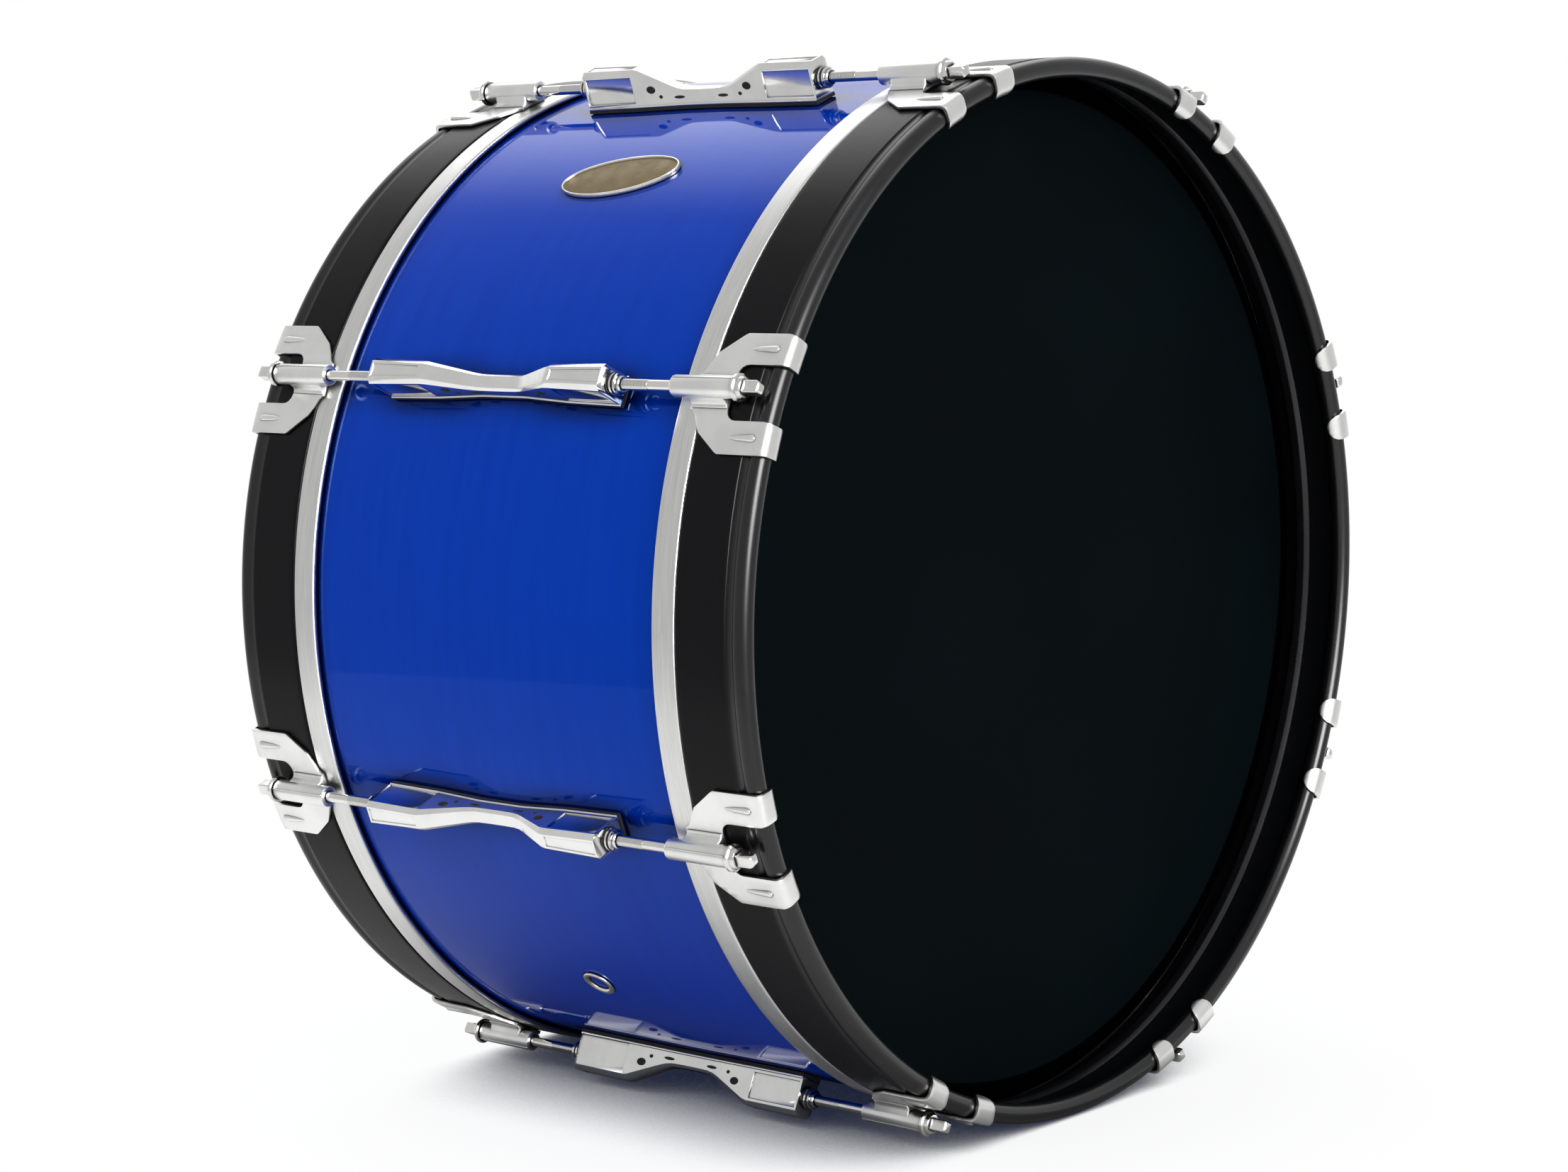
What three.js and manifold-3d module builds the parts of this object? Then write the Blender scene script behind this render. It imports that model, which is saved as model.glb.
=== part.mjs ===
// Marching bass drum: a glossy wooden shell with a tensioned head on each end.
// Units are millimetres. The drum stands on its two hoops and its axis runs along Y. The played head
// faces -Y, +Z is up, and the origin lies on the floor under the middle of the shell.
import * as THREE from "three";
import { mergeVertices } from "three/addons/utils/BufferGeometryUtils.js";
import Module from "manifold-3d";

const wasm = await Module();
wasm.setup();

// Clearances that the whole drum shares
const seatGap = 0.3; // between two pieces that rest on each other
const cutOverrun = 2; // how far a cutting tool runs past the face it cuts
const joinDepth = 0.5; // how far two joined forms of one piece run into each other

// Shell: a plywood tube with a bevelled bearing edge at each end
const shellRadius = 305;
const shellDepth = 296;
const shellWall = 7;
const crestWidth = 0.8; // flat top of the bearing edge
const outerBevelDrop = 6.5;
const innerBevelDrop = 3;

// Heads: a film over the bearing edge, its collar turned down into the flesh hoop
const headThickness = 0.9;
const collarClearance = 2.2; // between the shell and the collar
const collarTopDrop = 6.8; // from the bearing edge down to where the collar turns straight
const crestRun = 0.4; // flat film left outside the crest before the collar slopes

// Flesh hoops: the bright angle rings that hold the rims of the heads
const fleshHoopHeight = 16;
const fleshHoopWall = 1.6;
const fleshHoopWeb = 1.8;
const fleshHoopDrop = 2.5; // from the bearing edge down to the ring's upper rim
const fleshHoopClearance = 1.3; // between the shell and the ring's web
const fleshHoopBevel = 0.7; // at the upper rim

// Counterhoops: a flat band, a groove and a round lip
const hoopHeight = 47.9;
const hoopWall = 5.5;
const lipRadius = 5.85;
const footWall = 2.6; // the thin foot that presses on the flesh hoop
const footHeight = 10;
const footBevel = 1.6; // leaves a dark line between the flesh hoop and the band
const ledgeReach = 2; // how far the foot's ledge stands in from the band
const ledgeHeight = 5;
const ledgeChamfer = 4;
const grooveDepth = 1;
const grooveWidth = 2;
const lipStartDegrees = -50;
const lipSweepDegrees = 280;
const lipSteps = 6;

// Claws: plates with two legs that hook over the lip, and a barrel for the rod
const clawThickness = 2.5;
const clawHalfWidth = 33.5;
const clawLegWidth = 18;
const clawNotchLength = 22.4; // from the middle of the lip in to the end of the notch
const clawNotchCorner = 6;
const clawShoulderLength = 23.6;
const clawWaistLength = 39.2; // from the middle of the lip in to where the plate narrows less steeply
const clawWaistHalfWidth = 22;
const clawLength = 47.7; // from the middle of the lip to the narrow end
const clawEndHalfWidth = 9;
const hookWidth = 18;
const hookWrapDegrees = 175;
const hookEase = 0.5; // extra room for the lip's curve as the hook turns inwards
const hookSteps = 3;
const barrelRadius = 6;
const barrelRise = 8.5; // how far the barrel's seat stands out into the notch
const barrelTail = 8.2; // how far the barrel runs on past the plate's narrow end
const saddleHalfWidth = 4.6; // the seat that joins the barrel to the plate
const ribLength = 17;
const ribRadius = 2.4;
const ribHeightShare = 0.6; // height of the rib's round against its width
const ribRise = 0.9;

// Tension rods: a shank, a flange and a square key head
const rodRadius = 3;
const boreClearance = 0.5;
const rodEngagement = 27.5; // length of rod inside the lug
const flangeLip = 1.5; // how far the flange stands out past the barrel
const flangeThickness = 3;
const keySquare = 7;
const keyLength = 13;
const keyChamfer = 1.2;

// Lugs: cast bow-tie blocks that take a rod at each end
const gasketThickness = 1.5;
const gasketLip = 0.8;
const lugLength = 175;
const lugHeight = 22.8;
const lugHalfWidth = 7.8;
const blockLength = 38.5;
const blockInnerHalfWidth = 6.8;
const neckLength = 28;
const neckHeight = 9;
const neckHalfWidth = 5;
const shoulderDrop = 2.2; // how far the block's inner shoulder has sunk after its rounding
const shoulderRun = 7;
const neckRise = 2.4; // how high the neck has risen where its curve ends
const neckRun = 9;
const lugEdgeChamfer = 2.8;
const panelDepth = 1.2;
const panelLength = 24;
const panelHeight = 14;
const collarRadius = 6.2;
const collarLength = 8;
const lugBoreDepth = 36;

// Badge: a plain oval plate
const badgeLength = 80;
const badgeHeight = 34;
const badgeThickness = 1.6;
const badgeRim = 2.6;
const badgeRimRise = 0.9;

// Vent: a turned grommet through the shell
const ventBore = 6.5;
const ventSleeveWall = 0.9;
const ventFlangeRadius = 10;
const ventFlangeThickness = 1.4;
const ventEdgeBevel = 0.7;
const ventClinchLip = 2; // how far the sleeve's inner end is turned out

// Places round the shell, in degrees from +X towards +Z
const stationCount = 8;
const firstStationDegrees = 21.3;
const badgeDegrees = 128;
const badgeTiltDegrees = 10;
const ventDegrees = 226.5;

// Fineness of the faceted rounds
const ringSegments = 56;
const smallSegments = 8;
const ribSegments = 6;
const flangeSegments = 12;
const ovalSegments = 28;
const ventSegments = 16;

// Sizes that follow from the ones above
const shellHalf = shellDepth / 2;
const collarInner = shellRadius + collarClearance;
const collarOuter = collarInner + headThickness;
const fleshHoopInner = collarOuter + seatGap;
const hoopRadius = fleshHoopInner + fleshHoopWall;
const fleshHoopTop = shellHalf - fleshHoopDrop;
const footLevel = fleshHoopTop + seatGap;
const lipLevel = footLevel + hoopHeight;
const lipMiddle = lipLevel - lipRadius;
const lipCentreRadius = hoopRadius - lipRadius;
const axisHeight = hoopRadius * Math.cos(Math.PI / ringSegments);
const clawInner = hoopRadius + seatGap;
const clawOuter = clawInner + clawThickness;
const rodCircle = clawOuter + barrelRadius - joinDepth;
const barrelSeat = lipMiddle - clawNotchLength + barrelRise;
const lugHalf = lugLength / 2;
const lugBase = shellRadius + gasketThickness + 2 * seatGap;
const rodTip = lugHalf - rodEngagement;
const boreRadius = rodRadius + boreClearance;

// Materials
const gloss = new THREE.MeshStandardMaterial({ color: 0x0b3aa8, roughness: 0.08, metalness: 0.1 });
const film = new THREE.MeshStandardMaterial({ color: 0x0b1012, roughness: 0.55, metalness: 0 });
const satin = new THREE.MeshStandardMaterial({ color: 0xc9cbcd, roughness: 0.38, metalness: 1 });
const lacquer = new THREE.MeshStandardMaterial({ color: 0x151517, roughness: 0.35, metalness: 0 });
const zinc = new THREE.MeshStandardMaterial({ color: 0xd8d7d2, roughness: 0.25, metalness: 1 });
const chrome = new THREE.MeshStandardMaterial({ color: 0xdedddb, roughness: 0.1, metalness: 1 });
const rubber = new THREE.MeshStandardMaterial({ color: 0x101114, roughness: 0.8, metalness: 0 });
const gold = new THREE.MeshStandardMaterial({ color: 0x9a8350, roughness: 0.4, metalness: 0.9 });

// The axes of a section: its X runs along the drum, its Y is radial and it is extruded sideways.
const sectionAxes = new THREE.Matrix4().makeBasis(
  new THREE.Vector3(0, 1, 0),
  new THREE.Vector3(0, 0, 1),
  new THREE.Vector3(1, 0, 0),
);

// The axes of an end-on outline: its X runs across, its Y is radial and it is extruded along the drum.
const endOnAxes = new THREE.Matrix4().makeBasis(
  new THREE.Vector3(-1, 0, 0),
  new THREE.Vector3(0, 0, 1),
  new THREE.Vector3(0, 1, 0),
);

// How far a station turns about the drum's axis to lie at an angle from +X towards +Z
function turnTo(degrees) {
  return Math.PI / 2 - THREE.MathUtils.degToRad(degrees);
}

function solidFrom(geometry) {
  const bare = geometry.clone();
  bare.deleteAttribute("normal");
  bare.deleteAttribute("uv");
  const merged = mergeVertices(bare);
  const { array: triVerts } = merged.index;
  const { array: vertProperties } = merged.attributes.position;
  return new wasm.Manifold(new wasm.Mesh({ numProp: 3, vertProperties, triVerts: new Uint32Array(triVerts) }));
}

function geometryFrom(solid) {
  const { vertProperties, triVerts } = solid.getMesh();
  const geometry = new THREE.BufferGeometry();
  geometry.setAttribute("position", new THREE.BufferAttribute(vertProperties, 3));
  geometry.setIndex(new THREE.BufferAttribute(triVerts, 1));
  geometry.computeVertexNormals();
  return geometry;
}

function joined(geometries) {
  return geometries.map(solidFrom).reduce((whole, next) => whole.add(next));
}

// A profile of [radius, distance along the drum] turned round the drum's axis, a facet at the bottom.
function revolved(profile) {
  const points = profile.map(([radius, along]) => new THREE.Vector2(radius, along));
  return new THREE.LatheGeometry(points, ringSegments, Math.PI / ringSegments);
}

// A closed profile of [radius, distance along] returns to its first point.
function ring(profile) {
  return revolved([...profile, profile[0]]);
}

// A round bar along the drum, its middle on the rod circle.
function barAlong(radius, from, to, segments = smallSegments) {
  const bar = new THREE.CylinderGeometry(radius, radius, to - from, segments);
  return bar.translate(0, (from + to) / 2, rodCircle);
}

// A round bar along a radius of the drum, at the middle of its depth.
function barOutwards(radius, from, to, segments) {
  const bar = new THREE.CylinderGeometry(radius, radius, to - from, segments);
  return bar.rotateX(Math.PI / 2).translate(0, 0, (from + to) / 2);
}

// The outline seen along a radius, extruded from one radius to another.
function plan(points, from, to) {
  const shape = new THREE.Shape(points.map(([across, along]) => new THREE.Vector2(across, along)));
  const depth = to - from;
  return new THREE.ExtrudeGeometry(shape, { depth, bevelEnabled: false }).translate(0, 0, from);
}

// The outline seen along a tangent, in [distance along, radius], extruded to both sides.
function section(shape, width) {
  const slab = new THREE.ExtrudeGeometry(shape, { depth: width, bevelEnabled: false, curveSegments: hookSteps });
  return slab.translate(0, 0, -width / 2).applyMatrix4(sectionAxes);
}

function shapeOf(points) {
  return new THREE.Shape(points.map(([along, radius]) => new THREE.Vector2(along, radius)));
}

// An oblong outline, alike on both sides of the middle line.
function rectangle(halfWidth, from, to) {
  return [[-halfWidth, from], [halfWidth, from], [halfWidth, to], [-halfWidth, to]];
}

// A solid of one radius, turned so that its facets meet those of the rings at each station.
function roundCore(radius, halfLength) {
  const core = revolved([[0, -halfLength], [radius, -halfLength], [radius, halfLength], [0, halfLength]]);
  return solidFrom(core.rotateY(-turnTo(firstStationDegrees)));
}

// A sheet that follows the drum between two radii, cut to the outline seen along a radius.
function curvedSheet(outline, inner, outer) {
  const reach = Math.max(...outline.map(([, along]) => Math.abs(along))) + cutOverrun;
  const tube = roundCore(outer, reach).subtract(roundCore(inner, reach + cutOverrun));
  return tube.intersect(solidFrom(plan(outline, inner - shellWall, outer + cutOverrun)));
}

// Closes an outline whose second half mirrors the first across the middle line.
function mirroredAcross(half) {
  return [...half, ...half.map(([across, along]) => [-across, along]).reverse()];
}

function shellGeometry() {
  const inner = shellRadius - shellWall;
  const crestMiddle = shellRadius - shellWall / 2;
  const half = [
    [shellRadius, shellHalf - outerBevelDrop],
    [crestMiddle + crestWidth / 2, shellHalf],
    [crestMiddle - crestWidth / 2, shellHalf],
    [inner, shellHalf - innerBevelDrop],
  ];
  const mirrored = half.map(([radius, along]) => [radius, -along]).reverse();
  const hole = barOutwards(
    ventBore + ventSleeveWall + seatGap,
    inner - cutOverrun,
    shellRadius + cutOverrun,
    flangeSegments,
  );
  hole.rotateY(turnTo(ventDegrees));
  return geometryFrom(solidFrom(ring([...half, ...mirrored])).subtract(solidFrom(hole)));
}

function headGeometry() {
  const under = shellHalf + seatGap;
  const over = under + headThickness;
  const bend = shellRadius - shellWall / 2 + crestWidth / 2 + crestRun;
  const collarTop = shellHalf - collarTopDrop;
  const rim = fleshHoopTop - fleshHoopHeight + fleshHoopWeb + seatGap;
  return revolved([
    [0, under],
    [bend, under],
    [collarInner, collarTop],
    [collarInner, rim],
    [collarOuter, rim],
    [collarOuter, collarTop + headThickness / 2],
    [bend + headThickness / 2, over],
    [0, over],
  ]);
}

function fleshHoopGeometry() {
  const bottom = fleshHoopTop - fleshHoopHeight;
  const webInner = shellRadius + fleshHoopClearance;
  return ring([
    [webInner, bottom],
    [hoopRadius, bottom],
    [hoopRadius, fleshHoopTop - fleshHoopBevel],
    [hoopRadius - fleshHoopBevel, fleshHoopTop],
    [fleshHoopInner, fleshHoopTop],
    [fleshHoopInner, bottom + fleshHoopWeb],
    [webInner, bottom + fleshHoopWeb],
  ]);
}

function hoopGeometry() {
  const bandInner = hoopRadius - hoopWall;
  const ledgeInner = bandInner - ledgeReach;
  const footTop = footLevel + footHeight;
  const ledgeTop = footTop + ledgeHeight;
  const grooveStart = lipMiddle - lipRadius - grooveWidth;
  const lip = Array.from({ length: lipSteps + 1 }, (_, step) => {
    const angle = THREE.MathUtils.degToRad(lipStartDegrees + (lipSweepDegrees * step) / lipSteps);
    return [lipCentreRadius + lipRadius * Math.cos(angle), lipMiddle + lipRadius * Math.sin(angle)];
  });
  return ring([
    [hoopRadius - footBevel, footLevel],
    [hoopRadius, footLevel + footBevel],
    [hoopRadius, grooveStart],
    [hoopRadius - grooveDepth, grooveStart + grooveDepth],
    [hoopRadius - grooveDepth, grooveStart + grooveWidth],
    ...lip,
    [bandInner, grooveStart],
    [bandInner, ledgeTop + ledgeChamfer],
    [ledgeInner, ledgeTop],
    [ledgeInner, footTop + seatGap],
    [hoopRadius - footWall, footTop],
    [hoopRadius - footWall, footLevel],
  ]);
}

function clawPlate() {
  const legInner = clawHalfWidth - clawLegWidth;
  const notchEnd = lipMiddle - clawNotchLength;
  const outline = mirroredAcross([
    [legInner - clawNotchCorner, notchEnd],
    [legInner, notchEnd + clawNotchCorner],
    [legInner, lipMiddle],
    [clawHalfWidth, lipMiddle],
    [clawHalfWidth, lipMiddle - clawShoulderLength],
    [clawWaistHalfWidth, lipMiddle - clawWaistLength],
    [clawEndHalfWidth, lipMiddle - clawLength],
  ]);
  return curvedSheet(outline, clawInner, clawOuter);
}

// One hook wraps the lip from the top of the leg round to the inside.
function clawHook() {
  const inside = lipRadius + seatGap + hookEase;
  const outside = inside + clawThickness;
  const start = Math.PI / 2;
  const end = start - THREE.MathUtils.degToRad(hookWrapDegrees);
  const centre = lipCentreRadius - hookEase;
  const shape = new THREE.Shape();
  shape.moveTo(lipMiddle - joinDepth, clawInner);
  shape.lineTo(lipMiddle - joinDepth, clawOuter);
  shape.absarc(lipMiddle, centre, outside, start, end, true);
  shape.absarc(lipMiddle, centre, inside, end, start, false);
  return section(shape, hookWidth);
}

function clawGeometry() {
  const legMiddle = clawHalfWidth - clawLegWidth / 2;
  const legTurn = legMiddle / clawInner;
  const narrowEnd = lipMiddle - clawLength;
  const ribs = [-1, 1].map((side) => {
    const rib = new THREE.CylinderGeometry(ribRadius, ribRadius, ribLength, ribSegments);
    rib.scale(1, 1, ribHeightShare);
    rib.translate(0, lipMiddle - joinDepth - ribLength / 2, clawOuter + ribRise - ribRadius * ribHeightShare);
    return rib.rotateY(side * legTurn);
  });
  const hooks = [-1, 1].map((side) => clawHook().rotateY(side * legTurn));
  const barrel = barAlong(barrelRadius, narrowEnd - barrelTail, barrelSeat);
  const bore = barAlong(boreRadius, narrowEnd - barrelTail - cutOverrun, barrelSeat + cutOverrun);
  const saddleEnds = [narrowEnd, lipMiddle - clawNotchLength];
  const saddle = plan(rectangle(saddleHalfWidth, ...saddleEnds), clawOuter - joinDepth * 2, rodCircle);
  const body = clawPlate().add(joined([...hooks, ...ribs, saddle, barrel]));
  return geometryFrom(body.subtract(solidFrom(bore)));
}

function rodGeometry() {
  const flangeStart = barrelSeat + seatGap;
  const flangeEnd = flangeStart + flangeThickness;
  const keyEnd = flangeEnd + keyLength;
  const shank = barAlong(rodRadius, rodTip, flangeStart + joinDepth, smallSegments);
  const flange = barAlong(barrelRadius + flangeLip, flangeStart, flangeEnd, flangeSegments);
  const bevelSize = keyChamfer;
  const face = keySquare - 2 * bevelSize;
  const square = new THREE.Shape([
    new THREE.Vector2(-face / 2, -face / 2),
    new THREE.Vector2(face / 2, -face / 2),
    new THREE.Vector2(face / 2, face / 2),
    new THREE.Vector2(-face / 2, face / 2),
  ]);
  const depth = keyLength - bevelSize + joinDepth;
  const key = new THREE.ExtrudeGeometry(square, { depth, bevelSize, bevelThickness: bevelSize, bevelSegments: 1 });
  key.rotateX(-Math.PI / 2).translate(0, keyEnd - bevelSize - depth, rodCircle);
  return geometryFrom(joined([shank, flange, key]));
}

// The lug seen from the side, as [distance along, height over its seat], from one end to the other.
function lugHeights() {
  const blockStart = lugHalf - blockLength;
  const half = [
    [lugHalf, lugHeight],
    [blockStart, lugHeight],
    [blockStart - shoulderRun, lugHeight - shoulderDrop],
    [neckLength / 2 + neckRun, neckHeight + neckRise],
    [neckLength / 2, neckHeight],
  ];
  return [...half, ...half.map(([along, height]) => [-along, height]).reverse()];
}

// The lug seen along a radius, widened all round by a margin.
function lugOutline(margin) {
  const blockStart = lugHalf - blockLength;
  const quarter = [
    [lugHalfWidth + margin, lugHalf + margin],
    [blockInnerHalfWidth + margin, blockStart],
    [neckHalfWidth + margin, neckLength / 2],
  ];
  return mirroredAcross([...quarter, ...quarter.map(([across, along]) => [across, -along]).reverse()]);
}

// The lug seen end-on, its two top edges bevelled.
function lugEndShape() {
  const top = lugBase + lugHeight;
  const bevel = lugEdgeChamfer;
  return new THREE.Shape([
    new THREE.Vector2(-lugHalfWidth, lugBase - cutOverrun),
    new THREE.Vector2(lugHalfWidth, lugBase - cutOverrun),
    new THREE.Vector2(lugHalfWidth, top - bevel),
    new THREE.Vector2(lugHalfWidth - bevel, top),
    new THREE.Vector2(bevel - lugHalfWidth, top),
    new THREE.Vector2(-lugHalfWidth, top - bevel),
  ]);
}

// The sunk panels in the sides of both blocks.
function lugPanels() {
  const from = lugBase + (lugHeight - panelHeight) / 2;
  const middle = lugHalf - blockLength / 2;
  return [-middle, middle].flatMap((along) =>
    [-1, 1].map((side) => {
      const panel = new THREE.BoxGeometry(panelDepth * 2, panelLength, panelHeight);
      return panel.translate(side * (blockInnerHalfWidth + joinDepth), along, from + panelHeight / 2);
    }),
  );
}

function lugGeometry() {
  const top = lugHeights().map(([along, height]) => [along, lugBase + height]);
  const feet = [[-lugHalf, lugBase - cutOverrun], [lugHalf, lugBase - cutOverrun]];
  const side = section(shapeOf([...feet, ...top]), 2 * (lugHalfWidth + cutOverrun));
  const outline = plan(lugOutline(0), lugBase - cutOverrun * 2, lugBase + lugHeight + cutOverrun);
  const depth = lugLength + cutOverrun * 2;
  const endOn = new THREE.ExtrudeGeometry(lugEndShape(), { depth, bevelEnabled: false });
  endOn.translate(0, 0, -depth / 2).applyMatrix4(endOnAxes);
  const block = solidFrom(side).intersect(solidFrom(outline)).intersect(solidFrom(endOn));
  const seated = block.subtract(roundCore(lugBase, lugHalf + cutOverrun));
  const collars = joined([
    barAlong(collarRadius, lugHalf - joinDepth, lugHalf + collarLength),
    barAlong(collarRadius, -lugHalf - collarLength, joinDepth - lugHalf),
  ]);
  const boreStart = lugHalf - lugBoreDepth;
  const boreEnd = lugHalf + collarLength + cutOverrun;
  const bores = joined([barAlong(boreRadius, boreStart, boreEnd), barAlong(boreRadius, -boreEnd, -boreStart)]);
  return geometryFrom(seated.add(collars).subtract(bores).subtract(joined(lugPanels())));
}

function gasketGeometry() {
  const inner = shellRadius + seatGap;
  return geometryFrom(curvedSheet(lugOutline(gasketLip), inner, inner + gasketThickness));
}

function oval(halfLength, halfHeight, from, to) {
  const shape = new THREE.Shape();
  shape.absellipse(0, 0, halfHeight, halfLength, 0, 2 * Math.PI);
  const depth = to - from;
  const body = new THREE.ExtrudeGeometry(shape, { depth, bevelEnabled: false, curveSegments: ovalSegments / 2 });
  return solidFrom(body.translate(0, 0, from).rotateZ(THREE.MathUtils.degToRad(badgeTiltDegrees)));
}

// An oval plate with a raised rim, bent to the shell.
function badgeGeometry() {
  const inner = shellRadius + seatGap;
  const field = inner + badgeThickness;
  const length = badgeLength / 2;
  const height = badgeHeight / 2;
  const low = inner - shellWall;
  const blank = oval(length, height, low, field + badgeRimRise + cutOverrun);
  const sunk = oval(length - badgeRim, height - badgeRim, low, field + badgeRimRise + cutOverrun * 2);
  const badgeTurn = THREE.MathUtils.degToRad(badgeDegrees - firstStationDegrees);
  const core = (radius, reach) => roundCore(radius, reach).rotate([0, THREE.MathUtils.radToDeg(badgeTurn), 0]);
  const plate = blank.subtract(core(inner, badgeLength)).intersect(core(field + badgeRimRise, badgeLength));
  return geometryFrom(plate.subtract(sunk.subtract(core(field, badgeLength))));
}

// A sleeve through the shell's wall, its outer end a flange and its inner end turned over.
function ventGeometry() {
  const sleeve = ventBore + ventSleeveWall;
  const outside = shellRadius + seatGap;
  const inside = (shellRadius - shellWall) * Math.cos(Math.PI / ringSegments) - seatGap;
  const profile = [
    [ventBore, inside - ventFlangeThickness],
    [sleeve + ventClinchLip, inside - ventFlangeThickness],
    [sleeve + ventClinchLip, inside],
    [sleeve, inside],
    [sleeve, outside],
    [ventFlangeRadius, outside],
    [ventFlangeRadius - ventEdgeBevel, outside + ventFlangeThickness],
    [ventBore, outside + ventFlangeThickness],
  ];
  const points = [...profile, profile[0]].map(([radius, along]) => new THREE.Vector2(radius, along));
  return new THREE.LatheGeometry(points, ventSegments).rotateX(Math.PI / 2);
}

const drum = new THREE.Group();
drum.position.z = axisHeight;

function piece(name, geometry, material, parent) {
  const mesh = new THREE.Mesh(geometry, material);
  mesh.name = name;
  parent.add(mesh);
}

// A group at one place round the shell, its own Z pointing outwards there.
function station(degrees) {
  const group = new THREE.Group();
  group.rotation.y = turnTo(degrees);
  drum.add(group);
  return group;
}

// A group for the rear end as modelled, or mirrored for the front end.
function drumEnd(side, parent) {
  const group = new THREE.Group();
  if (side === "front") group.scale.y = -1;
  parent.add(group);
  return group;
}

piece("shell", shellGeometry(), gloss, drum);
piece("badge", badgeGeometry(), gold, station(badgeDegrees));
piece("vent_grommet", ventGeometry(), chrome, station(ventDegrees));

const head = headGeometry();
const fleshHoop = fleshHoopGeometry();
const hoop = hoopGeometry();
for (const side of ["front", "rear"]) {
  const end = drumEnd(side, drum);
  piece(`${side}_head`, head, film, end);
  piece(`${side}_flesh_hoop`, fleshHoop, satin, end);
  piece(`${side}_hoop`, hoop, lacquer, end);
}

const lug = lugGeometry();
const gasket = gasketGeometry();
const claw = clawGeometry();
const rod = rodGeometry();
for (let number = 1; number <= stationCount; number += 1) {
  const place = station(firstStationDegrees + ((number - 1) * 360) / stationCount);
  piece(`lug_${number}`, lug, chrome, place);
  piece(`lug_gasket_${number}`, gasket, rubber, place);
  for (const side of ["front", "rear"]) {
    const end = drumEnd(side, place);
    piece(`${side}_claw_${number}`, claw, zinc, end);
    piece(`${side}_rod_${number}`, rod, zinc, end);
  }
}

const root = new THREE.Group();
root.add(drum);
export default root;
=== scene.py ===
"""Marching bass drum: the looks of the shell, heads, hoops, claws, rods and lugs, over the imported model."""

from __future__ import annotations

import logging
import math
from collections.abc import Callable, Iterable, Sequence
from dataclasses import dataclass
from enum import Enum
from functools import cache

import bmesh
import bpy
from mathutils import Matrix, Vector

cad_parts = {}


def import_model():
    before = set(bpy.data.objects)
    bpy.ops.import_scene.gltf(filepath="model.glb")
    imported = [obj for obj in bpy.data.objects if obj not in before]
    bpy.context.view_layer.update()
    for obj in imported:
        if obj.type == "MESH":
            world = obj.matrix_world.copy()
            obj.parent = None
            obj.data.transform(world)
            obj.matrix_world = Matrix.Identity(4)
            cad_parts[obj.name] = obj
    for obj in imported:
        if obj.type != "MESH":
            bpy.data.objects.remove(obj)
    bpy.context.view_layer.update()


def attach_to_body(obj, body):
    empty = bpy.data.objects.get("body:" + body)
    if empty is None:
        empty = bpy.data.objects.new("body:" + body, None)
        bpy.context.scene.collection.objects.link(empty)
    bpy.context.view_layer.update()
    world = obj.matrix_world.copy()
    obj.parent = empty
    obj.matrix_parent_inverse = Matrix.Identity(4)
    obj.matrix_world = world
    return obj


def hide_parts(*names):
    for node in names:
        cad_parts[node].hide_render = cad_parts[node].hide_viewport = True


LOG = logging.getLogger("drum")
Pair = tuple[float, float]
Triple = tuple[float, float, float]
Quad = tuple[float, float, float, float]
Faces = list[bmesh.types.BMFace]


class End(Enum):
    """The two ends of the drum, with the side of the shell's middle that each lies on."""

    FRONT = -1
    REAR = 1

    @property
    def word(self) -> str:
        """The end's name as the model's pieces carry it."""
        return self.name.lower()


@dataclass(frozen=True)
class Layout:
    """Where the drum's axis lies and how its fittings are spaced round it."""

    axis_height: float = 0.309512
    stations: int = 8
    first_angle: float = 21.3
    rod_circle: float = 0.3183
    vent_angle: float = 226.5

    def turn(self, degrees: float) -> float:
        """Radians about +Y that bring the top of the drum to an angle from +X towards +Z."""
        return math.radians(90.0 - degrees)

    def place(self, degrees: float) -> Matrix:
        """The transform from a fitting's own frame, with +Z outwards, to its place on the drum.

        Args:
            degrees: angle round the shell, from +X towards +Z.

        Returns:
            The matrix to apply to the fitting's mesh.
        """
        return Matrix.Translation((0, 0, self.axis_height)) @ Matrix.Rotation(self.turn(degrees), 4, "Y")

    def angle(self, number: int) -> float:
        """The angle of a numbered station, counted from one."""
        return self.first_angle + (number - 1) * 360.0 / self.stations

    def named(self, stem: str) -> list[str]:
        """The names of the model's pieces at all stations."""
        return [f"{stem}_{number}" for number in range(1, self.stations + 1)]


LAYOUT = Layout()


def placed(name: str, data: bpy.types.ID) -> bpy.types.Object:
    """A new object in the scene."""
    made = bpy.data.objects.new(name, data)
    bpy.context.scene.collection.objects.link(made)
    return made


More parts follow.
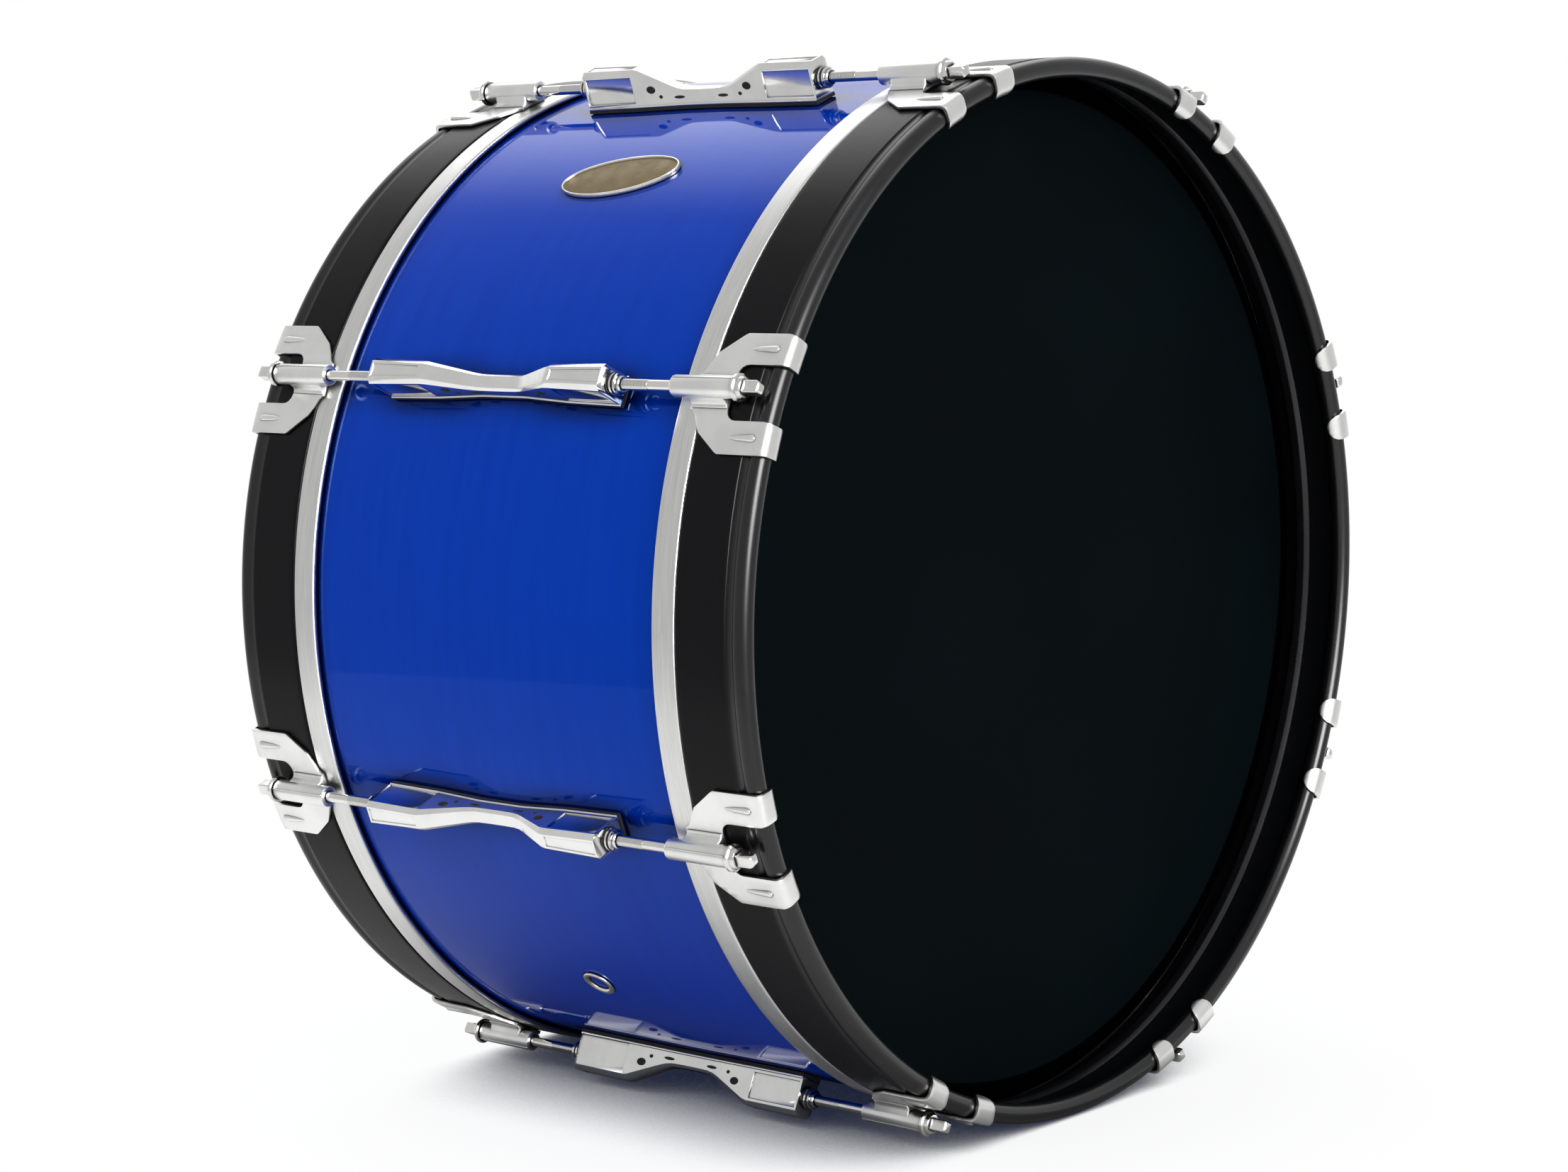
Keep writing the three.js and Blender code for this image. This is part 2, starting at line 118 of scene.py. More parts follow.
class Form:
    """A mesh under construction, in a fitting's own frame: +Y along the drum and +Z outwards."""

    def __init__(self) -> None:
        """Starts with no faces."""
        self.bm = bmesh.new()

    def faces(self, points: Iterable[Sequence[float]], loops: Iterable[Sequence[int]]) -> Faces:
        """Adds faces over new points.

        Args:
            points: the corners.
            loops: for each face, the numbers of its corners.

        Returns:
            The new faces.
        """
        verts = [self.bm.verts.new(p) for p in points]
        return [self.bm.faces.new([verts[i] for i in loop]) for loop in loops]

    def lofted(
        self,
        sections: Sequence[Sequence[Triple]],
        capped: bool = True,
        ring: bool = False,
        closed: bool = True,
    ) -> Faces:
        """Skins sections that have the same number of points.

        Args:
            sections: the sections, in order.
            capped: whether the first and last sections are filled.
            ring: whether the last section joins the first.
            closed: whether each section's last point joins its first.

        Returns:
            The new faces.
        """
        count, n = len(sections), len(sections[0])
        loops: list[Sequence[int]] = [
            (k * n + i, k * n + (i + 1) % n, (k + 1) % count * n + (i + 1) % n, (k + 1) % count * n + i)
            for k in range(count if ring else count - 1)
            for i in range(n if closed else n - 1)
        ]
        if capped:
            loops += [range(n), range((count - 1) * n, count * n)]
        return self.faces((p for section in sections for p in section), loops)

    def turned(
        self,
        profile: Sequence[Pair],
        steps: int,
        centre: Pair = (0.0, 0.0),
        closed: bool = True,
    ) -> Faces:
        """Turns a profile round an axis along Y.

        Args:
            profile: points as (radius, distance along Y).
            steps: segments round the axis.
            centre: the axis's X and Z.
            closed: whether the profile's last point joins its first.

        Returns:
            The new faces.
        """
        sections = []
        for step in range(steps):
            angle = 2 * math.pi * step / steps
            s, c = math.sin(angle), math.cos(angle)
            sections.append([(centre[0] + r * s, y, centre[1] + r * c) for r, y in profile])
        return self.lofted(sections, capped=False, ring=True, closed=closed)

    def join(self, other: "Form") -> None:
        """Takes over another form's faces; the other form is spent afterwards."""
        mesh = bpy.data.meshes.new("joining")
        other.bm.to_mesh(mesh)
        other.bm.free()
        self.bm.from_mesh(mesh)
        bpy.data.meshes.remove(mesh)

    def cut(self, place: Triple, across: Triple) -> None:
        """Adds the edges where a plane crosses the faces."""
        geometry = self.bm.verts[:] + self.bm.edges[:] + self.bm.faces[:]
        bmesh.ops.bisect_plane(self.bm, geom=geometry, plane_co=place, plane_no=across)

    def clean(self, distance: float = 1e-6) -> "Form":
        """Merges coincident corners and turns all faces outwards."""
        bmesh.ops.remove_doubles(self.bm, verts=self.bm.verts, dist=distance)
        bmesh.ops.dissolve_degenerate(self.bm, edges=self.bm.edges, dist=distance / 10)
        bmesh.ops.recalc_face_normals(self.bm, faces=self.bm.faces)
        return self

    def rounded(self, radius: float, angle: float = 35.0, segments: int = 2) -> "Form":
        """Rounds the edges sharper than an angle.

        Args:
            radius: how far the rounding reaches.
            angle: the smallest angle between two faces that is rounded, in degrees.
            segments: faces across the rounding.

        Returns:
            This form.
        """
        self.clean()
        limit = math.radians(angle)
        sharp = [e for e in self.bm.edges if len(e.link_faces) == 2 and e.calc_face_angle() > limit]
        bmesh.ops.bevel(
            self.bm,
            geom=sharp,
            offset=radius,
            segments=segments,
            profile=0.5,
            affect="EDGES",
            clamp_overlap=True,
        )
        return self

    def moved(self, change: Callable[[Vector], Sequence[float]]) -> "Form":
        """Moves every corner by a rule."""
        for vert in self.bm.verts:
            vert.co = Vector(change(vert.co.copy()))
        return self

    def facing(self, end: End) -> "Form":
        """Turns a form that is drawn for the rear end to its own end."""
        return self.moved(lambda co: (co.x, -co.y, co.z)) if end is End.FRONT else self

    def finish(
        self,
        name: str,
        materials: Sequence[bpy.types.Material],
        place: Matrix | None = None,
        smooth: float = 35.0,
        flat_over: float = 1.0,
    ) -> bpy.types.Object:
        """Turns the form into an object at the origin.

        Args:
            name: the object's name.
            materials: the finishes of its material slots.
            place: a transform for the mesh, or None.
            smooth: edges sharper than this many degrees stay sharp.
            flat_over: faces of more square metres than this are shaded flat.

        Returns:
            The new object.
        """
        self.clean()
        if place is not None:
            self.bm.transform(place)
            bmesh.ops.recalc_face_normals(self.bm, faces=self.bm.faces)
        mesh = bpy.data.meshes.new(name)
        self.bm.to_mesh(mesh)
        self.bm.free()
        mesh.polygons.foreach_set("use_smooth", [face.area < flat_over for face in mesh.polygons])
        mesh.set_sharp_from_angle(angle=math.radians(smooth))
        for material in materials:
            mesh.materials.append(material)
        return placed(name, mesh)


class Nodes:
    """Short ways to add and join the nodes of one tree."""

    def __init__(self, tree: bpy.types.NodeTree) -> None:
        """Keeps the tree that the nodes go into."""
        self.tree = tree

    def add(self, kind: str, settings: dict | None = None, **sockets: object) -> bpy.types.Node:
        """Adds a node.

        Args:
            kind: the node's type name.
            settings: properties of the node itself.
            **sockets: values or outputs for its inputs, by name with _ for a space, or by number as i0.

        Returns:
            The new node.
        """
        node = self.tree.nodes.new(kind)
        for key, value in (settings or {}).items():
            setattr(node, key, value)
        for key, value in sockets.items():
            numbered = key[0] == "i" and key[1:].isdigit()
            self.feed(node, int(key[1:]) if numbered else key.replace("_", " "), value)
        return node

    def feed(self, node: bpy.types.Node, socket: str | int, value: object) -> None:
        """Links an output to an input, or sets the input's own value."""
        target = node.inputs[socket]
        if isinstance(value, bpy.types.NodeSocket):
            self.tree.links.new(value, target)
        else:
            target.default_value = value

    def math(self, operation: str, a: object, b: object = 0.0, clamp: bool = False) -> bpy.types.NodeSocket:
        """The result of one arithmetic step."""
        node = self.add("ShaderNodeMath", {"operation": operation, "use_clamp": clamp}, i0=a, i1=b)
        return node.outputs[0]

    def line(self, value: object, slope: object, start: object) -> bpy.types.NodeSocket:
        """A value times a slope, plus a start."""
        return self.math("ADD", self.math("MULTIPLY", value, slope), start)

    def vector(self, operation: str, a: object, b: Triple = (0.0, 0.0, 0.0)) -> bpy.types.Node:
        """The node of one step with vectors."""
        return self.add("ShaderNodeVectorMath", {"operation": operation}, i0=a, i1=b)

    def ranged(self, value: object, span: Pair, to: Pair = (0.0, 1.0)) -> bpy.types.NodeSocket:
        """A value carried smoothly from one span to another, clamped at both ends."""
        smooth = {"interpolation_type": "SMOOTHSTEP"}
        node = self.add("ShaderNodeMapRange", smooth, i0=value, i1=span[0], i2=span[1], i3=to[0], i4=to[1])
        return node.outputs[0]

    def mixed(self, share: object, first: object, second: object) -> bpy.types.NodeSocket:
        """A colour between two others."""
        node = self.add("ShaderNodeMix", {"data_type": "RGBA"})
        self.feed(node, 0, share)
        self.feed(node, 6, first)
        self.feed(node, 7, second)
        return node.outputs[2]

    def noise(self, place: object, scale: object, detail: float, rough: float = 0.5) -> bpy.types.NodeSocket:
        """A soft random value over a place."""
        node = self.add("ShaderNodeTexNoise", Vector=place, Scale=scale, Detail=detail, Roughness=rough)
        return node.outputs[0]

    def relief(self, shader: bpy.types.Node, strength: float, depth: float, height: object) -> None:
        """Gives a shader a fine relief by bump."""
        bump = self.add("ShaderNodeBump", Strength=strength, Distance=depth, Height=height)
        self.feed(shader, "Normal", bump.outputs[0])

    def open_share(self, reach: float, span: Pair) -> bpy.types.NodeSocket:
        """From 0 in a narrow gap to 1 in the open, by what lies within reach of the surface."""
        open_part = self.add("ShaderNodeAmbientOcclusion", {"samples": 8}, Distance=reach).outputs["AO"]
        return self.ranged(open_part, span)

    def place(self) -> bpy.types.NodeSocket:
        """The point on the object, in metres."""
        return self.add("ShaderNodeTexCoord").outputs["Object"]

    def stretched(self, by: Triple) -> bpy.types.NodeSocket:
        """The point on the object, stretched along each axis."""
        return self.add("ShaderNodeMapping", Vector=self.place(), Scale=by).outputs[0]

    def along(self) -> bpy.types.NodeSocket:
        """Distance from the shell's middle, in metres."""
        return self.math("ABSOLUTE", self.add("ShaderNodeSeparateXYZ", i0=self.place()).outputs[1])

    def off_axis(self) -> bpy.types.NodeSocket:
        """Distance from the drum's axis, in metres."""
        across = self.vector("MULTIPLY", self.place(), (1.0, 0.0, 1.0)).outputs[0]
        centred = self.vector("SUBTRACT", across, (0.0, 0.0, LAYOUT.axis_height)).outputs[0]
        return self.vector("LENGTH", centred).outputs["Value"]

    def rays(self) -> tuple[bpy.types.NodeSocket, bpy.types.NodeSocket]:
        """1 for a straight view from the camera, and 1 for a view in gloss or through glass."""
        seen = self.add("ShaderNodeLightPath").outputs
        return seen["Is Camera Ray"], self.math("MAXIMUM", seen["Is Glossy Ray"], seen["Is Transmission Ray"])


class Effects:
    """The shader node groups that several finishes share."""

    SMEAR_SPAN = (0.35, 0.7)
    SMEAR_SHARE = 0.7
    FINE_SHARE = 0.3
    FINE_SCALE = 14.0

    @classmethod
    def _group(
        cls,
        name: str,
        inputs: dict[str, float],
        outputs: Sequence[str],
    ) -> tuple[bpy.types.NodeTree, Nodes]:
        """Starts a group with named number inputs and named number outputs."""
        tree = bpy.data.node_groups.new(name, "ShaderNodeTree")
        for key, value in inputs.items():
            socket = tree.interface.new_socket(key, in_out="INPUT", socket_type="NodeSocketFloat")
            socket.default_value = value
        for key in outputs:
            tree.interface.new_socket(key, in_out="OUTPUT", socket_type="NodeSocketFloat")
        return tree, Nodes(tree)

    @classmethod
    @cache
    def handling(cls) -> bpy.types.NodeTree:
        """Faint smears and fine marks on a handled surface: a mask from 0 to 1 and a height."""
        tree, nodes = cls._group("Handling marks", {"Scale": 30.0, "Strength": 1.0}, ("Mask", "Height"))
        inside = nodes.add("NodeGroupInput").outputs
        outside = nodes.add("NodeGroupOutput")
        place = nodes.place()
        broad = nodes.noise(place, inside["Scale"], 4.0, 0.55)
        fine = nodes.noise(place, nodes.math("MULTIPLY", inside["Scale"], cls.FINE_SCALE), 2.0)
        smear = nodes.ranged(broad, cls.SMEAR_SPAN)
        both = nodes.line(smear, cls.SMEAR_SHARE, nodes.math("MULTIPLY", fine, cls.FINE_SHARE))
        nodes.feed(outside, "Mask", nodes.math("MULTIPLY", both, inside["Strength"], clamp=True))
        nodes.feed(outside, "Height", nodes.math("MULTIPLY", fine, inside["Strength"]))
        return tree

    @classmethod
    @cache
    def from_axis(cls) -> bpy.types.NodeTree:
        """A point's distance from the drum's axis and from the shell's middle, and its angle."""
        inputs = {"Axis height": LAYOUT.axis_height}
        tree, nodes = cls._group("Distance from the axis", inputs, ("Radius", "Along", "Angle"))
        inside = nodes.add("NodeGroupInput").outputs
        outside = nodes.add("NodeGroupOutput")
        split = nodes.add("ShaderNodeSeparateXYZ", i0=nodes.place()).outputs
        up = nodes.math("SUBTRACT", split[2], inside["Axis height"])
        squares = nodes.math("ADD", *(nodes.math("POWER", part, 2.0) for part in (split[0], up)))
        nodes.feed(outside, "Radius", nodes.math("SQRT", squares))
        nodes.feed(outside, "Along", nodes.math("ABSOLUTE", split[1]))
        nodes.feed(outside, "Angle", nodes.math("ARCTAN2", up, split[0]))
        return tree


@dataclass(frozen=True)
class Finish:
    """A finish with one shader: its name, its plain values, its marks and the painted shade that darkens it
    in gaps.
    """

    name: str
    colour: Quad
    roughness: float
    metallic: float = 0.0
    marks: float = 0.08
    marks_scale: float = 30.0
    marks_shade: float = 0.12
    bump: float = 0.0
    depth: float = 0.0004
    # crevice, gap and the dark colour after them: painted shade, darkening the colour where other surfaces
    # lie close
    crevice: float = 0.0
    gap: Pair = (0.5, 0.96)
    gap_shade: Quad = (0.035, 0.035, 0.04, 1.0)

    def base(self) -> tuple[bpy.types.Material, Nodes, bpy.types.Node]:
        """A new material with its shader's plain values set."""
        material = bpy.data.materials.new(self.name)
        material.use_nodes = True
        material.diffuse_color = self.colour
        nodes = Nodes(material.node_tree)
        shader = material.node_tree.nodes["Principled BSDF"]
        nodes.feed(shader, "Base Color", self.colour)
        nodes.feed(shader, "Roughness", self.roughness)
        nodes.feed(shader, "Metallic", self.metallic)
        return material, nodes, shader

    def darker(self, share: float) -> Quad:
        """The finish's colour, darker by a share."""
        return tuple(c * (1 - share) for c in self.colour[:3]) + (1.0,)

    def marked(self, nodes: Nodes) -> bpy.types.Node:
        """The group node of the handling marks, at this finish's scale."""
        settings = {"node_tree": Effects.handling()}
        return nodes.add("ShaderNodeGroup", settings, Scale=self.marks_scale, Strength=1.0)

    def handled(self, nodes: Nodes, shader: bpy.types.Node) -> bpy.types.Node:
        """Varies the roughness by the handling marks.

        Args:
            nodes: the material's nodes.
            shader: its shader.

        Returns:
            The group node of the marks.
        """
        marks = self.marked(nodes)
        nodes.feed(shader, "Roughness", nodes.line(marks.outputs["Mask"], self.marks, self.roughness))
        return marks

    def round_ring(self, nodes: Nodes, stretch: Triple) -> bpy.types.NodeSocket:
        """A place for noise that runs round the drum.

        Args:
            nodes: the material's nodes.
            stretch: how fast the place changes round the drum, along it and outwards.

        Returns:
            The stretched place.
        """
        where = nodes.add("ShaderNodeGroup", {"node_tree": Effects.from_axis()}).outputs
        parts = zip(("Angle", "Along", "Radius"), stretch)
        around, along, out = (nodes.math("MULTIPLY", where[key], by) for key, by in parts)
        return nodes.add("ShaderNodeCombineXYZ", i0=around, i1=along, i2=out).outputs[0]

    def make(self) -> bpy.types.Material:
        """Builds the material, with darker marks, painted shade in the gaps and a fine relief."""
        material, nodes, shader = self.base()
        marks = self.handled(nodes, shader).outputs
        tone = nodes.mixed(marks["Mask"], self.colour, self.darker(self.marks_shade))
        # painted shade: the colour darkens where other surfaces lie within the crevice's reach, as shade
        # falls there
        if self.crevice:
            tone = nodes.mixed(nodes.open_share(self.crevice, self.gap), self.gap_shade, tone)
        nodes.feed(shader, "Base Color", tone)
        if self.bump:
            nodes.relief(shader, self.bump, self.depth, marks["Height"])
        return material


@dataclass(frozen=True)
class GlossLacquer(Finish):
    """Deep blue candy lacquer: mirror-like, and tinted where it is seen square on."""

    deep: Quad = (0.0, 0.026, 0.34, 1.0)
    sheen: Quad = (0.02, 0.40, 1.0, 1.0)
    # shade, shade_reach and shade_span: painted shade, darkening the lacquer near lugs, rings and hoops
    shade: Quad = (0.0, 0.003, 0.05, 1.0)
    shade_reach: float = 0.022
    shade_span: Pair = (0.54, 0.97)
    ior: float = 1.33
    bump: float = 0.12
    depth: float = 0.0006
    grain: Triple = (5.0, 70.0, 5.0)
    grain_scale: float = 2.0
    grain_span: Pair = (0.3, 0.75)
    grain_share: float = 0.45
    peel_scale: float = 220.0
    peel_share: float = 0.04
    swell_scale: float = 9.0

    def make(self) -> bpy.types.Material:
        """Builds the material, with the veneer's grain under it and a slightly wavy surface."""
        material, nodes, shader = self.base()
        nodes.feed(shader, "IOR", self.ior)
        nodes.feed(shader, "Specular Tint", self.sheen)
        veneer = nodes.noise(nodes.stretched(self.grain), self.grain_scale, 5.0, 0.6)
        share = nodes.ranged(veneer, self.grain_span, (0.0, self.grain_share))
        tone = nodes.mixed(share, self.colour, self.deep)
        # painted shade: darker where lugs, rings and hoops lie close to the shell
        tone = nodes.mixed(nodes.open_share(self.shade_reach, self.shade_span), self.shade, tone)
        nodes.feed(shader, "Base Color", tone)
        place = nodes.place()
        peel, swell = (nodes.noise(place, scale, 1.0) for scale in (self.peel_scale, self.swell_scale))
        nodes.relief(shader, self.bump, self.depth, nodes.line(peel, self.peel_share, swell))
        self.handled(nodes, shader)
        return material


@dataclass(frozen=True)
class HeadFilm(Finish):
    """Black film with a softly coated playing area and a glossier edge."""

    coat_radius: float = 0.2928
    coat_edge: float = 0.0012
    coat_gloss: float = 0.075
    edge_roughness: float = 0.4
    edge_colour: Quad = (0.0003, 0.0004, 0.0006, 1.0)
    bump: float = 0.35
    depth: float = 0.00015
    cloud_scale: float = 7.0
    cloud_span: Pair = (0.3, 0.7)
    cloud_tones: Pair = (0.6, 1.0)
    grit_scale: float = 900.0
    grit_share: float = 0.3

    def make(self) -> bpy.types.Material:
        """Builds the material."""
        material, nodes, shader = self.base()
        edge = (self.coat_radius - self.coat_edge, self.coat_radius)
        coated = nodes.ranged(nodes.off_axis(), edge, (1.0, 0.0))
        place = nodes.place()
        cloud = nodes.ranged(nodes.noise(place, self.cloud_scale, 3.0), self.cloud_span, self.cloud_tones)
        tone = nodes.mixed(nodes.math("MULTIPLY", coated, cloud), self.edge_colour, self.colour)
        nodes.feed(shader, "Base Color", tone)
        nodes.feed(shader, "IOR", nodes.line(coated, self.coat_gloss, 1.0))
        clean = nodes.line(coated, self.roughness - self.edge_roughness, self.edge_roughness)
        nodes.feed(shader, "Roughness", nodes.line(self.marked(nodes).outputs["Mask"], self.marks, clean))
        grit = nodes.noise(place, self.grit_scale, 2.0)
        height = nodes.line(grit, nodes.math("MULTIPLY", coated, self.grit_share), coated)
        nodes.relief(shader, self.bump, self.depth, height)
        return material


@dataclass(frozen=True)
class HoopLacquer(Finish):
    """Black satin lacquer over bent wood, glossier on the lip and on the inner wall."""

    wall_radii: Pair = (0.3042, 0.3050)
    lip_reach: Pair = (0.1785, 0.1835)
    band_gloss: float = 0.11
    wall_gloss: float = 0.55
    lip_gloss: float = 0.5
    bump: float = 0.2
    depth: float = 0.0003
    fibre: Triple = (6.0, 420.0, 0.0)

    def make(self) -> bpy.types.Material:
        """Builds the material."""
        material, nodes, shader = self.base()
        wall = nodes.ranged(nodes.off_axis(), self.wall_radii, (self.wall_gloss, self.band_gloss))
        lip = nodes.ranged(nodes.along(), self.lip_reach, (self.band_gloss, self.lip_gloss))
        nodes.feed(shader, "Specular IOR Level", nodes.math("MAXIMUM", wall, lip))
        self.handled(nodes, shader)
        fibre = nodes.noise(self.round_ring(nodes, self.fibre), 1.0, 4.0)
        nodes.relief(shader, self.bump, self.depth, fibre)
        return material


@dataclass(frozen=True)
class BrushedBand(Finish):
    """Satin aluminium, brushed along the ring."""

    brush: Triple = (9.0, 3000.0, 3000.0)
    brush_span: Pair = (0.35, 0.7)
    brush_shade: float = 0.18
    bump: float = 0.25
    depth: float = 0.0001

    def make(self) -> bpy.types.Material:
        """Builds the material."""
        material, nodes, shader = self.base()
        self.handled(nodes, shader)
        lines = nodes.noise(self.round_ring(nodes, self.brush), 1.0, 3.0)
        tone = nodes.mixed(nodes.ranged(lines, self.brush_span), self.colour, self.darker(self.brush_shade))
        nodes.feed(shader, "Base Color", tone)
        nodes.relief(shader, self.bump, self.depth, lines)
        return material


@dataclass(frozen=True)
class RawMaple(Finish):
    """The unfinished inside of the shell."""

    grain: Triple = (8.0, 60.0, 8.0)
    grain_scale: float = 3.0
    grain_shade: float = 0.3

    def make(self) -> bpy.types.Material:
        """Builds the material."""
        material, nodes, shader = self.base()
        grain = nodes.noise(nodes.stretched(self.grain), self.grain_scale, 5.0)
        nodes.feed(shader, "Base Color", nodes.mixed(grain, self.colour, self.darker(self.grain_shade)))
        return material


class Finishes:
    """Every finish of the drum, built once."""

    def __init__(self) -> None:
        """Builds the materials."""
        blue, film, black = (0.0, 0.038, 0.42, 1.0), (0.0012, 0.0028, 0.0036, 1.0), (0.004, 0.004, 0.005, 1.0)
        plate, steel, chrome = (0.93, 0.93, 0.91, 1.0), (0.86, 0.85, 0.82, 1.0), (0.90, 0.90, 0.89, 1.0)
        rubber, gold, rim = (0.008, 0.008, 0.009, 1.0), (0.215, 0.165, 0.085, 1.0), (0.80, 0.77, 0.70, 1.0)
        self.blue = GlossLacquer("Blue lacquer", blue, 0.03, marks=0.04, marks_scale=12.0).make()
        self.maple = RawMaple("Bare maple", (0.55, 0.38, 0.22, 1.0), 0.6).make()
        self.film = HeadFilm("Black film", film, 0.6, marks=0.1, marks_scale=14.0).make()
        self.band = BrushedBand("Satin aluminium", (0.80, 0.80, 0.79, 1.0), 0.3, 1.0, marks=0.1).make()
        self.black = HoopLacquer("Black lacquer", black, 0.22, marks=0.1, marks_scale=18.0).make()
        self.plate = Finish("Bright plating", plate, 0.30, 1.0, marks_scale=40.0, crevice=0.004).make()
        self.steel = Finish("Rod plating", steel, 0.14, 1.0, marks_scale=60.0, crevice=0.002).make()
        self.chrome = Finish("Polished chrome", chrome, 0.08, 1.0, 0.06, 40.0, crevice=0.003).make()
        self.rubber = Finish("Black rubber", rubber, 0.75, marks=0.1, marks_scale=60.0, bump=0.4).make()
        self.gold = Finish("Aged gold", gold, 0.36, 0.9, 0.2, 120.0, bump=0.6).make()
        self.rim = Finish("Nickel rim", rim, 0.2, 1.0, 0.1, 90.0, bump=0.1).make()


class Repeat:
    """The node tree that sets copies of one fitting round the drum."""

    def __init__(self, layout: Layout) -> None:
        """Builds the tree.

        Args:
            layout: the spacing of the stations.
        """
        self.layout = layout
        self.tree = bpy.data.node_groups.new("Round the drum", "GeometryNodeTree")
        self.tree.is_modifier = True
        face = self.tree.interface
        face.new_socket("Fitting", in_out="INPUT", socket_type="NodeSocketGeometry")
        self.count = face.new_socket("Count", in_out="INPUT", socket_type="NodeSocketInt")
        self.first = face.new_socket("First turn", in_out="INPUT", socket_type="NodeSocketFloat")
        self.height = face.new_socket("Axis height", in_out="INPUT", socket_type="NodeSocketFloat")
        self.finish = face.new_socket("Finish", in_out="INPUT", socket_type="NodeSocketMaterial")
        face.new_socket("Ring", in_out="OUTPUT", socket_type="NodeSocketGeometry")
        nodes = Nodes(self.tree)
        inside = nodes.add("NodeGroupInput").outputs
        outside = nodes.add("NodeGroupOutput")
        centre = nodes.add("ShaderNodeCombineXYZ", i2=inside["Axis height"])
        spots = nodes.add("GeometryNodePoints", Count=inside["Count"], Position=centre.outputs[0])
        step = nodes.math("DIVIDE", -2 * math.pi, inside["Count"])
        index = nodes.add("GeometryNodeInputIndex").outputs[0]
        turn = nodes.math("ADD", nodes.math("MULTIPLY", index, step), inside["First turn"])
        euler = nodes.add("ShaderNodeCombineXYZ", i1=turn)
        rotation = nodes.add("FunctionNodeEulerToRotation", i0=euler.outputs[0])
        copies = nodes.add(
            "GeometryNodeInstanceOnPoints",
            Points=spots.outputs[0],
            Instance=inside["Fitting"],
            Rotation=rotation.outputs[0],
        )
        real = nodes.add("GeometryNodeRealizeInstances", i0=copies.outputs[0])
        coloured = nodes.add("GeometryNodeSetMaterial", i0=real.outputs[0], Material=inside["Finish"])
        nodes.feed(outside, 0, coloured.outputs[0])

    def round(self, piece: bpy.types.Object, name: str) -> bpy.types.Object:
        """Replaces a fitting's object by its ring of copies.

        Args:
            piece: the fitting in its own frame, with one material.
            name: the new object's name.

        Returns:
            The object that holds all copies.
        """
        finish = piece.data.materials[0]
        change = piece.modifiers.new("Round the drum", "NODES")
        change.node_group = self.tree
        change[self.count.identifier] = self.layout.stations
        change[self.first.identifier] = self.layout.turn(self.layout.first_angle)
        change[self.height.identifier] = self.layout.axis_height
        change[self.finish.identifier] = finish
        bpy.context.view_layer.update()
        graph = bpy.context.evaluated_depsgraph_get()
        mesh = bpy.data.meshes.new_from_object(piece.evaluated_get(graph))
        mesh.name = name
        bpy.data.objects.remove(piece)
        return placed(name, mesh)


def attach(piece: bpy.types.Object, body: str, nodes: Sequence[str]) -> None:
    """Fixes a finished piece to a body, in place of the model's plain pieces.

    Args:
        piece: the finished object.
        body: the body that it moves with.
        nodes: the plain pieces that it stands for.
    """
    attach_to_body(piece, body)
    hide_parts(*nodes)
    LOG.info("%s: %d faces on %s", piece.name, len(piece.data.polygons), body)


def arc(centre: Pair, radius: float, start: float, end: float, steps: int) -> list[Pair]:
    """Points on an arc, with angles in degrees from the first axis towards the second."""
    angles = [math.radians(start + (end - start) * i / steps) for i in range(steps + 1)]
    return [(centre[0] + radius * math.cos(a), centre[1] + radius * math.sin(a)) for a in angles]


@dataclass
class Shell:
    """The lacquered tube with its bearing edges and its vent hole."""

    finishes: Finishes
    radius: float = 0.3047
    wall: float = 0.007
    half_depth: float = 0.148
    bevel: float = 0.0065
    inner_bevel: float = 0.003
    crest: float = 0.0008
    shoulder: Pair = (0.0002, 0.0003)
    steps: int = 960
    sharp: float = 30.0
    vent_hole: float = 0.0077
    drill_reach: float = 0.01
    drill_steps: int = 40

    def build(self) -> None:
        """Builds the tube, cuts the vent hole and attaches it."""
        inner, half = self.radius - self.wall, self.half_depth
        crest = self.radius - self.wall / 2
        sunk, run = self.shoulder
        right = [
            (self.radius - sunk, half - self.bevel),
            (crest + self.crest / 2, half),
            (crest - self.crest / 2, half),
            (inner, half - self.inner_bevel),
        ]
        outer = [(self.radius, -half + self.bevel + run), (self.radius, half - self.bevel - run)]
        left = [(r, -y) for r, y in reversed(right)]
        form = Form()
        faces = form.turned(outer + right + left, self.steps, (0.0, LAYOUT.axis_height))
        for face in faces:
            middle = face.calc_center_median()
            out = math.hypot(middle.x, middle.z - LAYOUT.axis_height)
            face.material_index = 0 if out > self.radius - 2 * sunk else 1
        tube = form.finish("Shell_tube", [self.finishes.blue, self.finishes.maple], smooth=self.sharp)
        self._cut(tube)
        attach(tube, "drum", ["shell"])

    def _cut(self, tube: bpy.types.Object) -> None:
        """Cuts the vent's hole through the wall."""
        drill = Form()
        hole, reach = self.vent_hole, self.drill_reach
        profile = [(0.0, -reach), (hole, -reach), (hole, reach), (0.0, reach)]
        drill.turned(profile, self.drill_steps, closed=False)
        drill.clean()
        lift = Matrix.Translation((0, 0, self.radius - self.wall / 2)) @ Matrix.Rotation(math.pi / 2, 4, "X")
        cutter = drill.finish("Vent_drill", [self.finishes.maple], LAYOUT.place(LAYOUT.vent_angle) @ lift)
        change = tube.modifiers.new("Vent", "BOOLEAN")
        change.operation = "DIFFERENCE"
        change.object = cutter
        change.solver = "EXACT"
        bpy.context.view_layer.update()
        graph = bpy.context.evaluated_depsgraph_get()
        mesh = bpy.data.meshes.new_from_object(tube.evaluated_get(graph))
        tube.modifiers.clear()
        tube.data = mesh
        mesh.set_sharp_from_angle(angle=math.radians(self.sharp))
        bpy.data.objects.remove(cutter)


